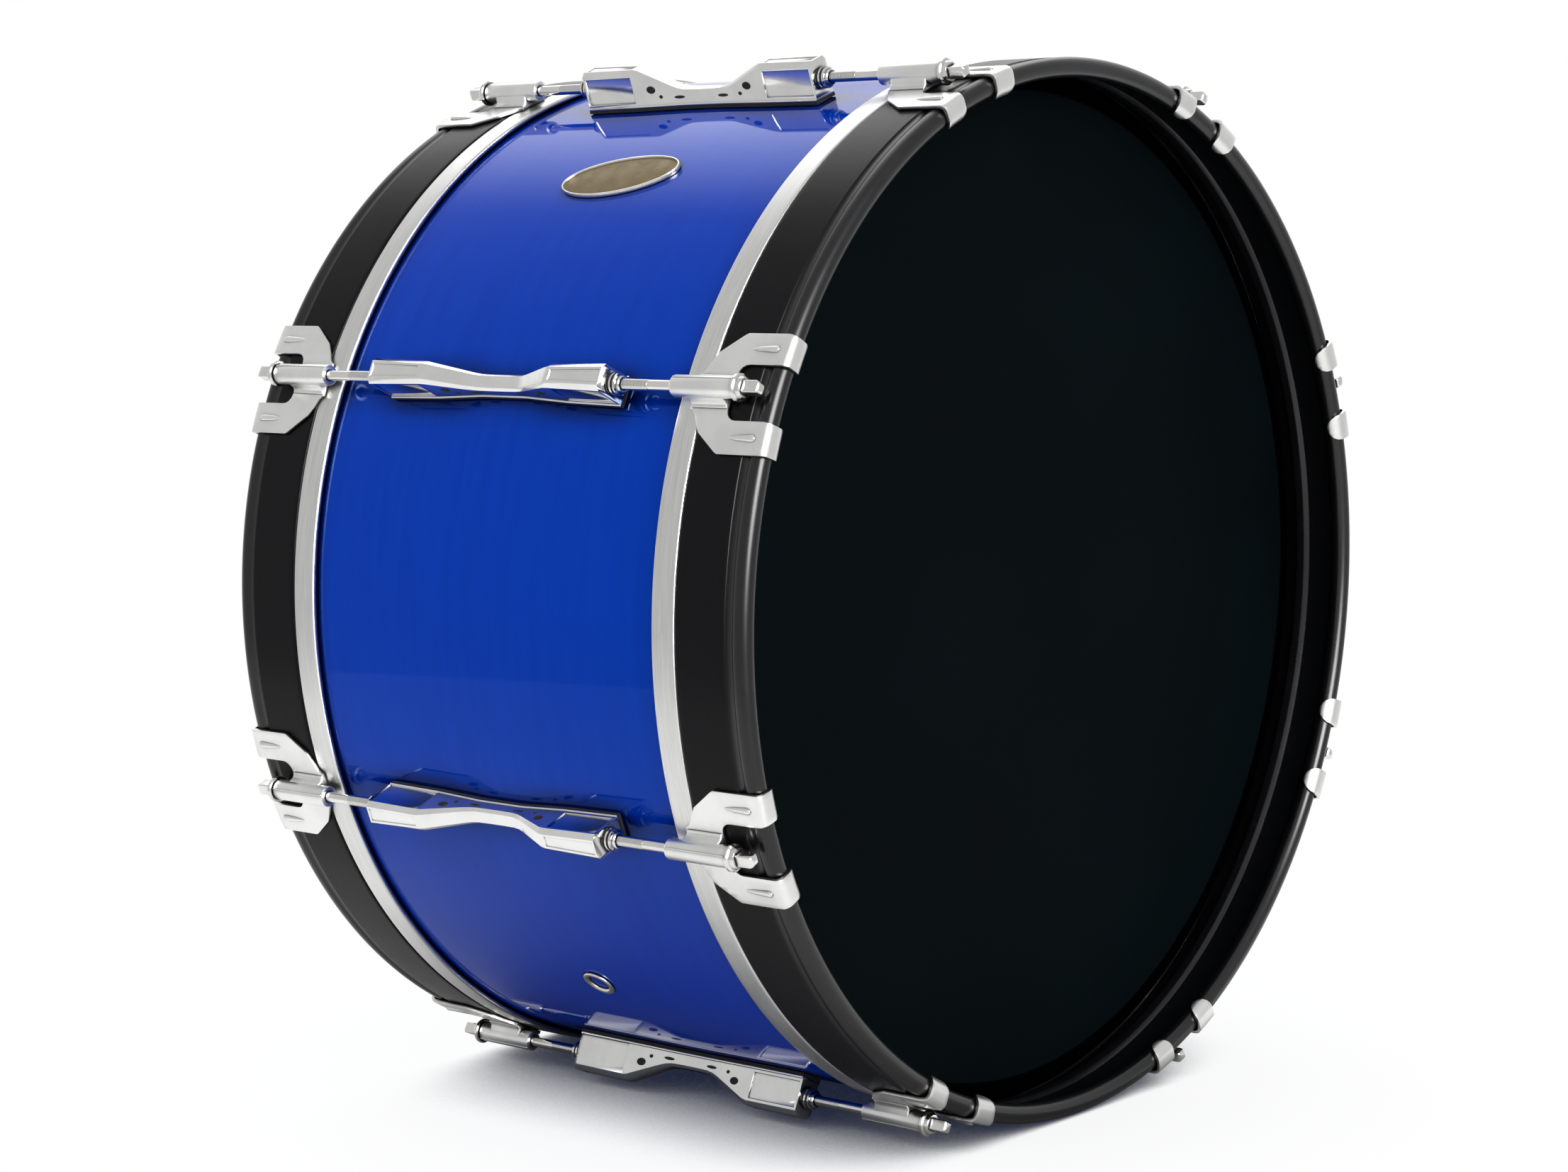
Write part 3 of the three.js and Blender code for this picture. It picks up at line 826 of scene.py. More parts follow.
@dataclass
class DrumEnd:
    """One end of the drum: its head, flesh hoop and counterhoop, each turned from a profile."""

    finishes: Finishes
    end: End
    steps: int = 480
    sharp: float = 50.0
    film_over: float = 0.1492
    film_under: float = 0.1483
    film_flat: float = 0.2902
    film_thickness: float = 0.0009
    film_crest: Pair = (0.2992, 0.0042)
    collar: Pair = (0.3070, 0.3078)
    collar_foot: float = 0.1318
    band_leg: float = 0.3079
    hoop_outside: float = 0.3095
    hoop_inside: float = 0.3040
    ledge_inside: float = 0.3020
    foot_rim: Pair = (0.3070, 0.3078)
    lip_centre: Pair = (0.30365, 0.18785)
    lip_round: float = 0.00585

    def _ring(
        self, name: str, profile: Sequence[Pair], finish: bpy.types.Material, closed: bool = True
    ) -> bpy.types.Object:
        """Turns a profile, given for the rear, on this end of the drum."""
        form = Form()
        side = self.end.value
        form.turned([(r, side * y) for r, y in profile], self.steps, (0.0, LAYOUT.axis_height), closed)
        return form.finish(f"{self.end.word.title()}_{name}", [finish], smooth=self.sharp)

    def head(self) -> None:
        """The film over the bearing edge, its crest and its collar."""
        painted_shadow, over, thin = self.film_under, self.film_over, self.film_thickness
        middle, bend = self.film_crest
        inner, outer = self.collar
        crest = arc((middle, over - bend), bend, 90, 24, 6)
        inside = [(r - thin * (r > middle + 0.0003), y - thin) for r, y in reversed(crest)]
        profile = [
            (0.0, over),
            (0.10, over),
            (0.20, over),
            (self.film_flat, over),
            (self.film_flat + 0.0016, over + 0.00005),
            *crest,
            (outer, 0.1412),
            (outer, self.collar_foot),
            (inner, self.collar_foot),
            (inner, 0.1410),
            *inside,
            (self.film_flat, painted_shadow),
            (0.0, painted_shadow),
        ]
        piece = self._ring("head_film", profile, self.finishes.film, closed=False)
        attach(piece, "drum", [f"{self.end.word}_head"])

    def flesh_hoop(self) -> None:
        """The bright angle ring, its outer face rolled up to a soft bead beside the counterhoop."""
        profile = [
            # the foot, round outside
            (0.3063, 0.1298),
            (0.3066, 0.1295),
            *arc((0.3080, 0.1308), 0.0013, -88, 0, 6),
            # the outer face, slightly crowned
            (0.30942, 0.1335),
            (0.3095, 0.1375),
            (0.30942, 0.1415),
            # the bead
            *arc((0.3080, 0.1441), 0.0014, 0, 86, 6),
            # the inner face and the leg under the film's collar
            (self.band_leg, 0.1453),
            (self.band_leg, 0.1313),
            (0.3063, 0.1313),
        ]
        piece = self._ring("flesh_band", profile, self.finishes.band)
        attach(piece, "drum", [f"{self.end.word}_flesh_hoop"])

    def counterhoop(self) -> None:
        """The black hoop: foot, band, groove, round lip, inner wall and ledge."""
        inner, outer = self.foot_rim
        profile = [
            # the foot on the flesh hoop, and its round edge
            (inner, 0.1448),
            (outer, 0.1448),
            (outer, 0.1457),
            *arc((0.3080, 0.1473), 0.0015, -88, 0, 5),
            # the band
            (self.hoop_outside, 0.1500),
            (self.hoop_outside, 0.1793),
            # the groove
            *arc((0.3089, 0.1795), 0.0006, 0, 60, 3),
            (0.3086, 0.1806),
            (0.3084, 0.1818),
            *arc(self.lip_centre, self.lip_round, -38, 236, 26),
            # the inner wall
            (0.3021, 0.1812),
            (0.3036, 0.1806),
            (self.hoop_inside, 0.1796),
            (self.hoop_inside, 0.1654),
            # the ledge
            *arc((0.3024, 0.1646), 0.0016, 10, -30, 4),
            (0.3022, 0.1616),
            (self.ledge_inside, 0.1606),
            (self.ledge_inside, 0.1562),
            # the rabbet inside the flesh hoop's rim
            (0.3025, 0.1558),
            (0.3066, 0.1556),
            (inner, 0.1550),
        ]
        piece = self._ring("counterhoop", profile, self.finishes.black)
        attach(piece, f"{self.end.word}_hoop_set", [f"{self.end.word}_hoop"])

    def build(self) -> None:
        """Builds the three rings."""
        self.head()
        self.flesh_hoop()
        self.counterhoop()


@dataclass
class Claw:
    """One claw: a pressed sheet that forks round a notch, hooks over the lip and carries a barrel."""

    finishes: Finishes
    rest_radius: float = 0.3098
    thickness: float = 0.0021
    edge_round: float = 0.0004
    fold: float = 0.1914
    corner: float = 0.0025
    drop: float = 0.0037
    curl: float = 0.0060
    curl_degrees: float = 88.0
    half_width: float = 0.0335
    leg_inner: float = 0.0155
    leg_start: float = 0.1645
    leg_taper: Pair = (0.0004, 0.0040)
    shoulder: tuple[Pair, ...] = ((0.0325, 0.1626), (0.0225, 0.1492), (0.0175, 0.1462), (0.0122, 0.1436))
    tail: tuple[Pair, ...] = ((0.0104, 0.1416), (0.0098, 0.1404), (0.0, 0.1402))
    notch: float = 0.16545
    notch_half: float = 0.0090
    notch_round: float = 0.0065
    notch_depth: float = 0.0068
    dart_start: float = 0.1698
    dart_length: float = 0.0188
    dart_half: float = 0.0021
    dart_sunk: float = 0.0003
    dart_rise: float = 0.9
    dart_widths: tuple[Pair, ...] = (
        (0.0, 0.05),
        (0.12, 0.45),
        (0.35, 0.75),
        (0.8, 1.0),
        (0.93, 0.95),
        (1.0, 0.4),
    )
    barrel_radius: float = 0.0060
    barrel_chamfer: float = 0.0006
    bore: float = 0.0034
    barrel_start: float = 0.13195
    barrel_end: float = 0.17395
    seam: Pair = (0.0032, 0.00505)
    seam_radius: float = 0.00045

    @property
    def _turn_length(self) -> float:
        """The length of sheet in the hook's tight bend."""
        return (self.corner + self.thickness / 2) * math.pi / 2

    @property
    def _curl_length(self) -> float:
        """The length of sheet in the hook's wide bend."""
        return (self.curl + self.thickness / 2) * math.radians(self.curl_degrees)

    def outline(self) -> list[Pair]:
        """Half of the flat sheet's outline as (across, along), from the notch round to the narrow end."""
        end = self.fold + self._turn_length + self.drop + self._curl_length
        taper, run = self.leg_taper
        middle = 0.5 * (self.leg_inner + self.half_width)
        half_tab = 0.5 * (self.half_width - self.leg_inner) - taper
        turns = [math.radians(d) for d in range(0, 181, 20)]
        tip = [(middle - half_tab * math.cos(a), end - half_tab * (1 - math.sin(a))) for a in turns]
        half, r = self.notch_half, self.notch_round
        return [
            (0.0, self.notch),
            (half, self.notch),
            *[(half + r * math.sin(a), self.notch + r * (1 - math.cos(a))) for a in (0.5, 0.9, 1.25)],
            (self.leg_inner, self.notch + self.notch_depth),
            (self.leg_inner, self.fold),
            (self.leg_inner + taper, self.fold + run),
            *tip,
            (self.half_width - taper, self.fold + run),
            (self.half_width, self.fold),
            (self.half_width, self.leg_start),
            *self.shoulder,
            *self.tail,
        ]

    def _hooked(self, past: float, rise: float) -> Pair:
        """Where a point of the sheet past the fold line comes to lie.

        Args:
            past: the length of sheet between the fold line and the point.
            rise: its height over the sheet's inner face.

        Returns:
            Its radius and its distance along the drum.
        """
        turn, reach = self._turn_length, self.corner + rise
        high = self.rest_radius - self.corner
        if past < turn:
            angle = past / turn * math.pi / 2
            return (high + reach * math.cos(angle), self.fold + reach * math.sin(angle))
        if past < turn + self.drop:
            return (high - (past - turn), self.fold + reach)
        angle = (past - turn - self.drop) / (self.curl + self.thickness / 2)
        wide = self.curl + rise
        along = self.fold + self.corner - self.curl + wide * math.cos(angle)
        return (high - self.drop - wide * math.sin(angle), along)

    def _bend(self, co: Vector) -> Triple:
        """Carries a point of the flat sheet to its place: round the hoop, then over the lip."""
        turn = co.x / self.rest_radius
        flat = co.y <= self.fold
        radius, y = (self.rest_radius + co.z, co.y) if flat else self._hooked(co.y - self.fold, co.z)
        return (radius * math.sin(turn), y, radius * math.cos(turn))

    def dart(self, side: int) -> Form:
        """The pressed rib on one leg, pointed at its inner end."""
        middle = side * 0.5 * (self.leg_inner + self.half_width)
        base = self.thickness - self.dart_sunk
        ridge = arc((0.0, 0.0), 1.0, 180, 0, 6)
        sections = []
        for share, width in self.dart_widths:
            along, half = self.dart_start + self.dart_length * share, self.dart_half * width
            sections.append([(middle + x * half, along, base + z * half * self.dart_rise) for x, z in ridge])
        form = Form()
        form.lofted(sections)
        return form.clean().moved(self._bend)

    def sheet(self) -> Form:
        """The pressed and bent sheet."""
        half = self.outline()
        loop = half + [(-x, y) for x, y in reversed(half) if x > 0]
        form = Form()
        form.faces([(x, y, 0.0) for x, y in loop], [tuple(range(len(loop)))])
        turn = self._turn_length
        cuts = [self.fold + turn * i / 5 for i in range(6)]
        cuts += [self.fold + turn + self.drop + self._curl_length * i / 9 for i in range(9)]
        cuts += [0.140 + i * 0.006 for i in range(9)]
        across = [self.leg_inner + 0.0030 + i * 0.0030 for i in range(5)] + [0.005, 0.010]
        for y in cuts:
            form.cut((0, y, 0), (0, 1, 0))
        for x in [v for a in across for v in (a, -a)] + [0.0]:
            form.cut((x, 0, 0), (1, 0, 0))
        grown = bmesh.ops.extrude_face_region(form.bm, geom=form.bm.faces[:])
        lifted = [v for v in grown["geom"] if isinstance(v, bmesh.types.BMVert)]
        bmesh.ops.translate(form.bm, verts=lifted, vec=(0, 0, self.thickness))
        form.rounded(self.edge_round, 60)
        form.moved(self._bend)
        for side in (-1, 1):
            form.join(self.dart(side))
        return form

    def barrel(self) -> Form:
        """The rolled barrel with its seam and the fold that joins it to the sheet."""
        form = Form()
        z = LAYOUT.rod_circle
        r, b, c = self.barrel_radius, self.bore, self.barrel_chamfer
        y0, y1 = self.barrel_start, self.barrel_end
        soft = c * 0.3
        start = [(b, y0), (r - c, y0), (r - soft, y0 + soft), (r, y0 + c)]
        stop = [(r, y1 - c), (r - soft, y1 - soft), (r - c, y1), (b, y1)]
        form.turned(start + stop, 40, (0.0, z))
        form.join(self._saddle())
        seam = Form()
        first, last, thin = y0 + 0.0004, y1 - 0.0004, self.seam_radius
        line = [(0.0, first), (thin, first + 0.0002), (thin, last - 0.0002), (0.0, last)]
        seam.turned(line, 8, (self.seam[0], z + self.seam[1]), False)
        form.join(seam)
        return form

    def _saddle(self) -> Form:
        """The fold between the sheet and the barrel."""
        z, low = LAYOUT.rod_circle, self.rest_radius + 0.0012
        half = [
            (0.0094, low),
            (0.0092, low + 0.0017),
            (0.0078, low + 0.0020),
            (0.0066, low + 0.0036),
            (0.0058, z),
        ]
        points = [(-x, h) for x, h in half] + [(0.0, z)] + [(x, h) for x, h in reversed(half)]
        ends = [(0.1404, 0.6), (0.1412, 1.0), (self.notch - 0.0012, 1.0), (self.notch - 0.0004, 0.8)]
        fold = Form()
        fold.lofted([[(x * (0.9 + 0.1 * k), y, low + (h - low) * k) for x, h in points] for y, k in ends])
        return fold.rounded(0.0005, 40)

    def build(self, end: End, repeat: Repeat) -> None:
        """Builds the eight claws of one end.

        Args:
            end: the end of the drum.
            repeat: the tree that sets them round the drum.
        """
        form = self.sheet()
        form.join(self.barrel())
        claw = form.facing(end).finish("Claw", [self.finishes.plate], smooth=40)
        ring = repeat.round(claw, f"{end.word.title()}_claw_ring")
        attach(ring, f"{end.word}_hoop_set", LAYOUT.named(f"{end.word}_claw"))


@dataclass
class Rod:
    """One tension rod: shank, flange, neck and square key head with a domed end."""

    finishes: Finishes
    shank: float = 0.0030
    pitch: float = 0.0010
    thread_depth: float = 0.00032
    thread_end: float = 0.1135
    flange: float = 0.0076
    tip: float = 0.0602
    seat: float = 0.17425
    key: float = 0.0034
    key_start: float = 0.1775
    key_end: float = 0.1902
    key_round: float = 0.0007
    steps: int = 28

    def thread(self) -> list[Pair]:
        """The thread's crests and roots, as plain rings."""
        made: list[Pair] = []
        y = self.tip + 0.0012
        while y < self.thread_end:
            made += [(self.shank - self.thread_depth, y), (self.shank, y + self.pitch / 2)]
            y += self.pitch
        return made

    def build(self, end: End, number: int) -> None:
        """Builds one rod at its station and attaches it to its body.

        Args:
            end: the end of the drum.
            number: the station.
        """
        z, s, flange = LAYOUT.rod_circle, self.seat, self.flange
        profile = [
            (0.0, self.tip),
            (self.shank - 0.0008, self.tip),
            *self.thread(),
            (self.shank, self.thread_end + self.pitch),
            (self.shank, s),
            # the flange and the neck over it
            (flange - 0.0006, s),
            (flange, s + 0.0006),
            (flange, s + 0.0021),
            (flange - 0.0007, s + 0.0027),
            (0.0062, s + 0.0030),
            (0.0060, s + 0.0043),
            (0.0053, s + 0.0051),
            (0.0, s + 0.0053),
        ]
        form = Form()
        form.turned(profile, self.steps, (0.0, z), closed=False)
        key = (
            (self.key_start, 1.0),
            (self.key_end - 0.0022, 1.0),
            (self.key_end - 0.0007, 0.86),
            (self.key_end, 0.5),
        )
        sections = []
        for y, share in key:
            k = self.key * share
            sections.append([(-k, y, z - k), (k, y, z - k), (k, y, z + k), (-k, y, z + k)])
        head = Form()
        head.lofted(sections)
        form.join(head.rounded(self.key_round, 40, 3))
        form.facing(end)
        name = f"{end.word.title()}_rod_{number}_bright"
        piece = form.finish(name, [self.finishes.steel], LAYOUT.place(LAYOUT.angle(number)), 40)
        attach(piece, f"{end.word}_rod_{number}_body", [f"{end.word}_rod_{number}"])


@dataclass
class Lug:
    """One lug: a bow-tie block on a thin foot, with a collar for the rod at each end."""

    finishes: Finishes
    seat: float = 0.3071
    half: float = 0.0875
    block: float = 0.0490
    neck: float = 0.0140
    tall: float = 0.0228
    low: float = 0.0090
    wide: float = 0.0078
    waist: float = 0.0050
    foot: float = 0.0009
    side_panel: Pair = (0.0022, 0.0009)
    top_panel: Pair = (0.0017, 0.0006)
    panel_slope: float = 0.0003
    edge_round: float = 0.00035
    flat_over: float = 1.2e-5
    # dark slabs of painted shade for the hollows and slots in the flanks, as (along, height, half length,
    # half height)
    hollow_shades: tuple[Quad, ...] = (
        (0.0370, 0.0105, 0.0034, 0.0023),
        (0.0305, 0.0060, 0.0014, 0.0011),
        (0.0170, 0.0052, 0.0042, 0.0009),
    )
    collar: tuple[Pair, ...] = (
        (0.0034, -0.0040),
        (0.0062, -0.0040),
        (0.0062, 0.0008),
        (0.0052, 0.0010),
        (0.0052, 0.0020),
        (0.0062, 0.0022),
        (0.0062, 0.0034),
        (0.0052, 0.0036),
        (0.0052, 0.0046),
        (0.0060, 0.0048),
        (0.0060, 0.0056),
        (0.0046, 0.0060),
        (0.0046, 0.0076),
        (0.0042, 0.0080),
        (0.0034, 0.0080),
    )
    grooves: Pair = (0.0015, 0.0041)
    groove_ring: tuple[Pair, ...] = ((0.0050, -0.0006), (0.0059, -0.0005), (0.0059, 0.0005), (0.0050, 0.0006))
    gasket_faces: Pair = (0.3051, 0.3070)
    gasket_lip: float = -0.0001

    def lines(self) -> list[Quad]:
        """Stations along one half as (along, height, half width, bevel), from the end to the middle."""
        return [
            (self.half, self.tall, self.wide, 0.0026),
            (self.block, self.tall, 0.0069, 0.0026),
            (self.block - 0.0035, self.tall - 0.0009, 0.0067, 0.0024),
            (0.0230, 0.0118, 0.0054, 0.0018),
            (0.0185, 0.0101, 0.0051, 0.0017),
            (self.neck, self.low + 0.0002, self.waist, 0.0016),
            (0.0060, self.low, self.waist, 0.0016),
        ]

    def stations(self) -> list[Quad]:
        """The stations of both halves, from the rear end to the front end."""
        half = self.lines()
        return half + [(-y, h, w, c) for y, h, w, c in reversed(half)]

    def body(self) -> Form:
        """The cast body with its sunk side panels and block tops."""
        z, f = self.seat, self.foot
        sections = []
        for y, h, w, c in self.stations():
            foot = [(w + f, 0.0), (w + f, 0.0010), (w + 0.0002, 0.0014)]
            right = foot + [(w, h - c), (w - c, h), (w - c - 0.0001, h)]
            points = right + [(0.0, h)] + [(-x, q) for x, q in reversed(right)]
            sections.append([(x, y, z + q) for x, q in points])
        form = Form()
        faces = form.lofted(sections)
        count = len(sections[0])
        panels = (((2,), self.side_panel), ((count - 4,), self.side_panel), ((5, 6), self.top_panel))
        for span in (0, len(sections) - 2):
            for columns, (frame, sunk) in panels:
                panel = [faces[span * count + column] for column in columns]
                bmesh.ops.inset_region(form.bm, faces=panel, thickness=frame, depth=0.0)
                bmesh.ops.inset_region(form.bm, faces=panel, thickness=self.panel_slope, depth=-sunk)
        return form.rounded(self.edge_round, 25)

    def _hollow_shade(self, size: Pair, spot: Triple) -> Form:
        """One small dark slab on a flank: painted shade for a hollow in the casting.

        Args:
            size: half its length and half its height.
            spot: its place, with X on the side that it faces.

        Returns:
            The painted shade, as a thin round slab.
        """
        made = Form()
        slab = [(0.0, -0.001), (1.0, -0.001), (1.0, 0.0001), (0.9, 0.0003), (0.0, 0.0003)]
        made.turned(slab, 20, closed=False)
        outwards = Matrix.Rotation(-math.copysign(math.pi / 2, spot[0]), 4, "Z")
        made.bm.transform(Matrix.Translation(spot) @ outwards @ Matrix.Diagonal((size[0], 1.0, size[1], 1.0)))
        return made

    def collars(self) -> tuple[Form, Form]:
        """The bright collars and, apart, the dark rings in their grooves and the dark slabs of painted shade
        on the flanks.
        """
        bright, dark = Form(), Form()
        z, e = LAYOUT.rod_circle, self.half
        for side in (-1, 1):
            bright.turned([(r, side * (e + y)) for r, y in self.collar], 32, (0.0, z))
            for groove in self.grooves:
                ring = [(r, side * (e + groove + y)) for r, y in self.groove_ring]
                dark.turned(ring, 32, (0.0, z))
            for across in (-1, 1):
                for along, up, long, high in self.hollow_shades:
                    spot = (across * self._flank(along), side * along, self.seat + up)
                    dark.join(self._hollow_shade((long, high), spot))
        return bright, dark

    def _flank(self, along: float) -> float:
        """Half the body's width at a distance from its middle."""
        lines = [(y, w) for y, _, w, _ in reversed(self.lines())]
        for (y0, w0), (y1, w1) in zip(lines, lines[1:]):
            if along <= y1:
                return w0 + (w1 - w0) * (along - y0) / (y1 - y0)
        return lines[-1][1]

    def gasket(self) -> Form:
        """The dark strip between the lug and the shell."""
        low, high = self.gasket_faces
        lip, soft = self.gasket_lip, 0.0003
        sections = []
        for y, _, w, _ in self.stations():
            at = y + (math.copysign(lip, y) if abs(y) == self.half else 0.0)
            x = w + self.foot + lip
            top = high - 0.0002
            points = [(-x, low), (x, low), (x, top), (x - soft, high), (-x + soft, high), (-x, top)]
            sections.append([(px, at, pz) for px, pz in points])
        form = Form()
        form.lofted(sections)
        return form

    def build(self, repeat: Repeat) -> None:
        """Builds all eight lugs, their gaskets and the dark slabs of painted shade on their flanks.

        Args:
            repeat: the tree that sets them round the drum.
        """
        bright, dark = self.collars()
        body = self.body()
        body.join(bright)
        lug = body.finish("Lug", [self.finishes.chrome], smooth=30, flat_over=self.flat_over)
        attach(repeat.round(lug, "Lug_ring"), "drum", LAYOUT.named("lug"))
        # the gasket strips also carry the dark groove rings and the slabs of painted shade
        strip = self.gasket()
        strip.join(dark)
        pads = repeat.round(strip.finish("Gasket", [self.finishes.rubber]), "Gasket_and_shade_slab_ring")
        attach(pads, "drum", LAYOUT.named("lug_gasket"))


@dataclass
class Plaque:
    """The plain oval plaque on the upper shell."""

    finishes: Finishes
    angle: float = 128.0
    tilt: float = 10.0
    half_length: float = 0.0400
    half_height: float = 0.0170
    rest_radius: float = 0.3051
    thickness: float = 0.0016
    steps: int = 96

    def levels(self) -> list[tuple[float, float, int]]:
        """The rings from the rim's foot to the middle, as (share, height, material)."""
        t = self.thickness
        return [
            (1.0, 0.0, 1),
            (1.0, t + 0.0004, 1),
            (0.985, t + 0.0008, 1),
            (0.945, t + 0.0008, 1),
            (0.925, t - 0.0001, 1),
            (0.90, t - 0.0001, 0),
            (0.875, t + 0.0002, 0),
            (0.86, t, 0),
            (0.6, t + 0.0003, 0),
            (0.3, t + 0.0005, 0),
        ]

    def _bend(self, co: Vector) -> Triple:
        """Rolls a point of the flat plaque round the shell."""
        turn, radius = co.x / self.rest_radius, self.rest_radius + co.z
        return (radius * math.sin(turn), co.y, radius * math.cos(turn))

    def build(self) -> None:
        """Builds the field and its rim, bent to the shell."""
        levels = self.levels()
        turns = [2 * math.pi * i / self.steps for i in range(self.steps)]
        sections = [[(0.0, 0.0, 0.0)] * self.steps]
        for share, height, _ in levels:
            inset = (1 - share) * self.half_height
            high, long = self.half_height - inset, self.half_length - inset
            sections.append([(high * math.cos(a), long * math.sin(a), height) for a in turns])
        sections.append([(0.0, 0.0, self.thickness + 0.0006)] * self.steps)
        materials = [material for *_, material in levels] + [0]
        form = Form()
        for index, face in enumerate(form.lofted(sections, capped=False)):
            face.material_index = materials[index // self.steps]
        form.bm.transform(Matrix.Rotation(math.radians(self.tilt), 4, "Z"))
        form.moved(self._bend)
        finishes = [self.finishes.gold, self.finishes.rim]
        piece = form.finish("Oval_plaque", finishes, LAYOUT.place(self.angle), 40)
        attach(piece, "drum", ["badge"])


@dataclass
class Vent:
    """The turned grommet in the shell's vent hole."""

    finishes: Finishes
    bore: float = 0.0065
    wall: float = 0.0009
    flange: float = 0.0100
    outside: float = 0.3049
    inside: float = 0.2972
    lip: float = 0.0014
    steps: int = 64

    def build(self) -> None:
        """Builds the grommet and attaches it."""
        sleeve, foot = self.bore + self.wall, self.inside - self.outside
        rim = arc((self.flange - 0.0009, 0.0006), 0.0009, -40, 90, 5)
        profile = [
            (sleeve, 0.0),
            (self.flange - 0.0004, 0.0),
            *rim,
            (self.bore + 0.0016, 0.0016),
            (self.bore + 0.0006, 0.0012),
            (self.bore, 0.0004),
            (self.bore, foot - self.lip),
            (sleeve + 0.0020, foot - self.lip),
            (sleeve + 0.0020, foot),
            (sleeve, foot),
        ]
        form = Form()
        for face in form.turned(profile, self.steps):
            middle = face.calc_center_median()
            if middle.y < 0.0006 and math.hypot(middle.x, middle.z) < self.bore + 0.0004:
                face.material_index = 1
        stand = Matrix.Translation((0, 0, self.outside)) @ Matrix.Rotation(math.pi / 2, 4, "X")
        finishes = [self.finishes.rim, self.finishes.rubber]
        piece = form.finish("Vent_ring", finishes, LAYOUT.place(LAYOUT.vent_angle) @ stand, 40)
        attach(piece, "drum", ["vent_grommet"])


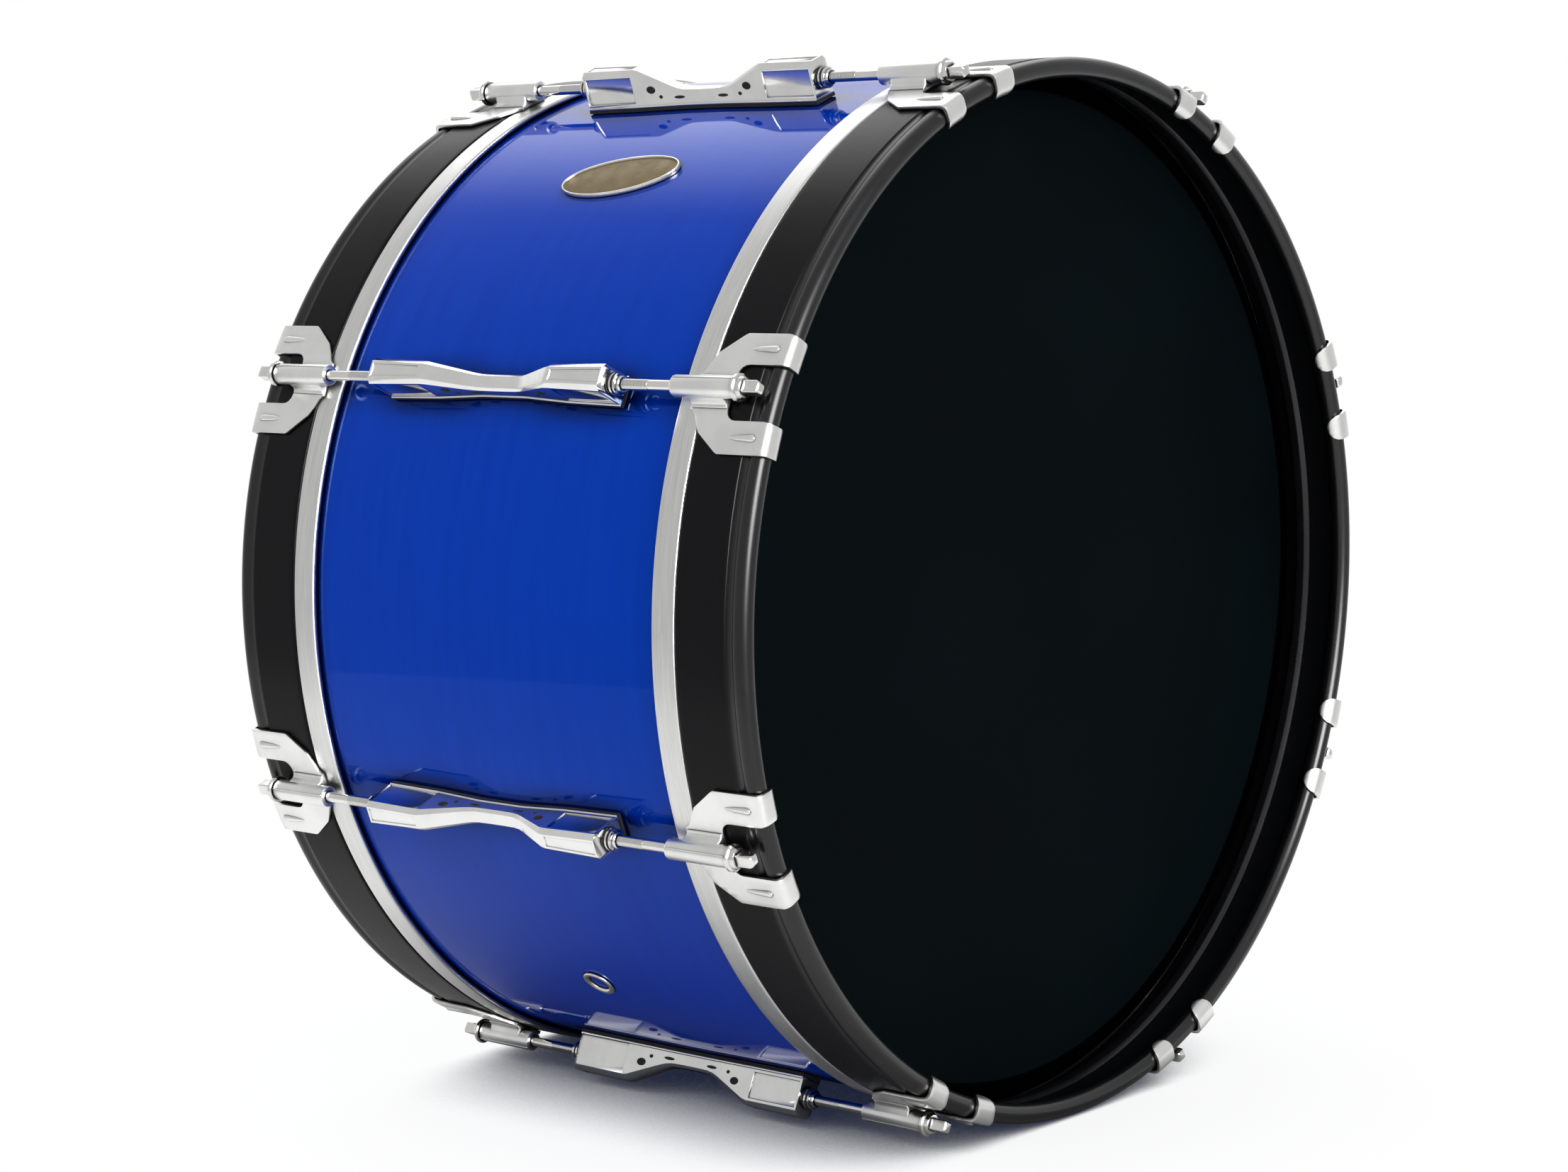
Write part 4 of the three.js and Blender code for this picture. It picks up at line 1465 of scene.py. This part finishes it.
@dataclass
class Studio:
    """The floor, the soft lamps, the pale surroundings and the camera."""

    focal: float = 74.315
    azimuth: float = -51.321
    elevation: float = 5.387
    distance: float = 2.0077
    shift_right: float = -0.0134
    shift_up: float = -0.0036
    floor_radius: float = 1.15
    floor_drop: float = 0.0006
    bounce: Quad = (0.66, 0.67, 0.70, 1.0)
    floor_tone: Quad = (0.82, 0.86, 0.94, 1.0)
    # shadow colour, reach and span: painted contact shadow under the drum, by ambient occlusion
    shadow: Quad = (0.008, 0.014, 0.04, 1.0)
    shadow_reach: float = 0.13
    shadow_span: Pair = (0.05, 0.52)
    glow_span: Pair = (0.08, 0.45)
    glow_low: float = 0.84
    # painted shade: in mirror images the floor near the drum is dimmer
    mirror_shade_span: Pair = (0.17, 0.42)
    mirror_shade_low: float = 0.10
    world_level: float = 0.55
    above_way: Triple = (0.49, 0.40, 0.775)
    above_span: Pair = (0.85, 0.98)
    above_level: float = 1.2
    behind_span: Pair = (0.3, 0.8)
    behind_levels: Pair = (0.6, 1.0)
    before_way: Triple = (-0.40, -0.85, 0.34)
    before_span: Pair = (0.92, 0.985)
    before_level: float = 17.0

    def camera(self) -> None:
        """Sets up the camera at the photograph's angle."""
        a, e = math.radians(self.azimuth), math.radians(self.elevation)
        back = Vector((math.sin(a) * math.cos(e), -math.cos(a) * math.cos(e), math.sin(e)))
        ahead = -back
        right = ahead.cross(Vector((0, 0, 1))).normalized()
        above = right.cross(ahead)
        look = (ahead + self.shift_right * right + self.shift_up * above).normalized()
        side = look.cross(Vector((0, 0, 1))).normalized()
        top = side.cross(look)
        data = bpy.data.cameras.new("Camera")
        data.sensor_width, data.sensor_fit, data.lens = 36.0, "HORIZONTAL", self.focal
        data.clip_end = 50.0
        camera = placed("Camera", data)
        spot = Vector((0, 0, LAYOUT.axis_height)) + back * self.distance
        turned = Matrix((side, top, -look)).transposed().to_4x4()
        camera.matrix_world = Matrix.Translation(spot) @ turned
        bpy.context.scene.camera = camera

    def floor(self) -> None:
        """The pale floor, which shows white and keeps the drum's shadow, with a painted contact shadow under
        the drum and painted shade near it in mirror images.
        """
        form = Form()
        steps = 96
        ring = [(x, y, 0.0) for x, y in arc((0.0, 0.0), self.floor_radius, 0, 360, steps)[:-1]]
        form.faces(ring, [tuple(range(steps))])
        material = bpy.data.materials.new("Floor")
        material.use_nodes = True
        nodes = Nodes(material.node_tree)
        material.node_tree.nodes.remove(material.node_tree.nodes["Principled BSDF"])
        output = material.node_tree.nodes["Material Output"]
        straight, shiny = nodes.rays()
        matte = nodes.add("ShaderNodeBsdfDiffuse", Color=nodes.mixed(straight, self.bounce, self.floor_tone))
        # painted shadow: ambient occlusion under the drum darkens the floor's glow to the shadow colour
        openness = nodes.open_share(self.shadow_reach, self.shadow_span)
        away = nodes.vector("LENGTH", nodes.place()).outputs["Value"]
        # painted shade: in mirror images the floor glows dimmer near the drum
        level = nodes.math("MAXIMUM", straight, nodes.ranged(away, self.mirror_shade_span, (self.mirror_shade_low, 1.0)))
        painted_shadow = nodes.mixed(openness, self.shadow, (1.0, 1.0, 1.0, 1.0))
        glow = nodes.add("ShaderNodeEmission", Color=painted_shadow, Strength=level)
        even = nodes.ranged(away, self.glow_span, (self.glow_low, 1.0))
        share = nodes.math("MULTIPLY", nodes.math("MAXIMUM", straight, shiny), even)
        blend = nodes.add("ShaderNodeMixShader", i0=share, i1=matte.outputs[0], i2=glow.outputs[0])
        nodes.feed(output, "Surface", blend.outputs[0])
        piece = form.finish("Floor", [material])
        piece.location.z = -self.floor_drop

    def lamp(self, name: str, spot: Triple, size: Pair, power: float) -> None:
        """Adds a soft lamp that faces the drum and shows in no mirror image.

        Args:
            name: the lamp's name.
            spot: where it hangs.
            size: its width and height.
            power: its power in watts.
        """
        data = bpy.data.lights.new(name, "AREA")
        data.shape, data.size, data.size_y, data.energy = "RECTANGLE", size[0], size[1], power
        lamp = placed(name, data)
        lamp.visible_glossy = False
        lamp.location = spot
        aim = Vector((0, 0, LAYOUT.axis_height)) - Vector(spot)
        lamp.rotation_euler = aim.to_track_quat("-Z", "Y").to_euler()

    def surroundings(self) -> None:
        """White to the camera; to metal and lacquer, bright above, behind and before, greyer at the sides."""
        world = bpy.data.worlds.new("Studio")
        bpy.context.scene.world = world
        world.use_nodes = True
        nodes = Nodes(world.node_tree)
        background = world.node_tree.nodes["Background"]
        way = nodes.add("ShaderNodeTexCoord").outputs["Generated"]
        a = math.radians(self.azimuth)
        zones = (
            (self.above_way, self.above_span, (0.0, self.above_level)),
            ((-math.sin(a), math.cos(a), 0.0), self.behind_span, self.behind_levels),
            (self.before_way, self.before_span, (0.0, self.before_level)),
        )
        above, behind, before = (
            nodes.ranged(nodes.vector("DOT_PRODUCT", way, towards).outputs["Value"], span, levels)
            for towards, span, levels in zones
        )
        mirrored = nodes.math("ADD", nodes.math("ADD", above, behind), before)
        straight, shiny = nodes.rays()
        level = nodes.line(shiny, nodes.math("SUBTRACT", mirrored, self.world_level), self.world_level)
        nodes.feed(background, "Strength", nodes.math("MAXIMUM", level, straight))
        nodes.feed(background, "Color", (1.0, 1.0, 1.0, 1.0))

    def build(self) -> None:
        """Builds the studio."""
        bpy.context.scene.view_settings.view_transform = "Standard"
        self.camera()
        self.floor()
        self.surroundings()
        self.lamp("Overhead", (0.9, 1.3, 2.3), (1.4, 1.6), 40.0)
        self.lamp("Left_wall", (-2.3, 0.5, 1.9), (1.2, 1.2), 22.0)
        self.lamp("Front", (-0.3, -2.3, 0.7), (1.7, 1.7), 34.0)


class Drum:
    """The whole drum, built piece by piece."""

    def __init__(self) -> None:
        """Builds the finishes and the repeating tree."""
        self.finishes = Finishes()
        self.repeat = Repeat(LAYOUT)

    def build(self) -> None:
        """Builds every piece in order, from the shell outwards."""
        Shell(self.finishes).build()
        Vent(self.finishes).build()
        Plaque(self.finishes).build()
        Lug(self.finishes).build(self.repeat)
        for end in End:
            DrumEnd(self.finishes, end).build()
            Claw(self.finishes).build(end, self.repeat)
            rod = Rod(self.finishes)
            for number in range(1, LAYOUT.stations + 1):
                rod.build(end, number)


def main() -> None:
    """Loads the model, sets up the studio and dresses the model, logging the faces of each new piece."""
    logging.basicConfig(level=logging.INFO, format="%(name)s: %(message)s")
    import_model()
    Studio().build()
    Drum().build()


if __name__ == "__main__":
    main()
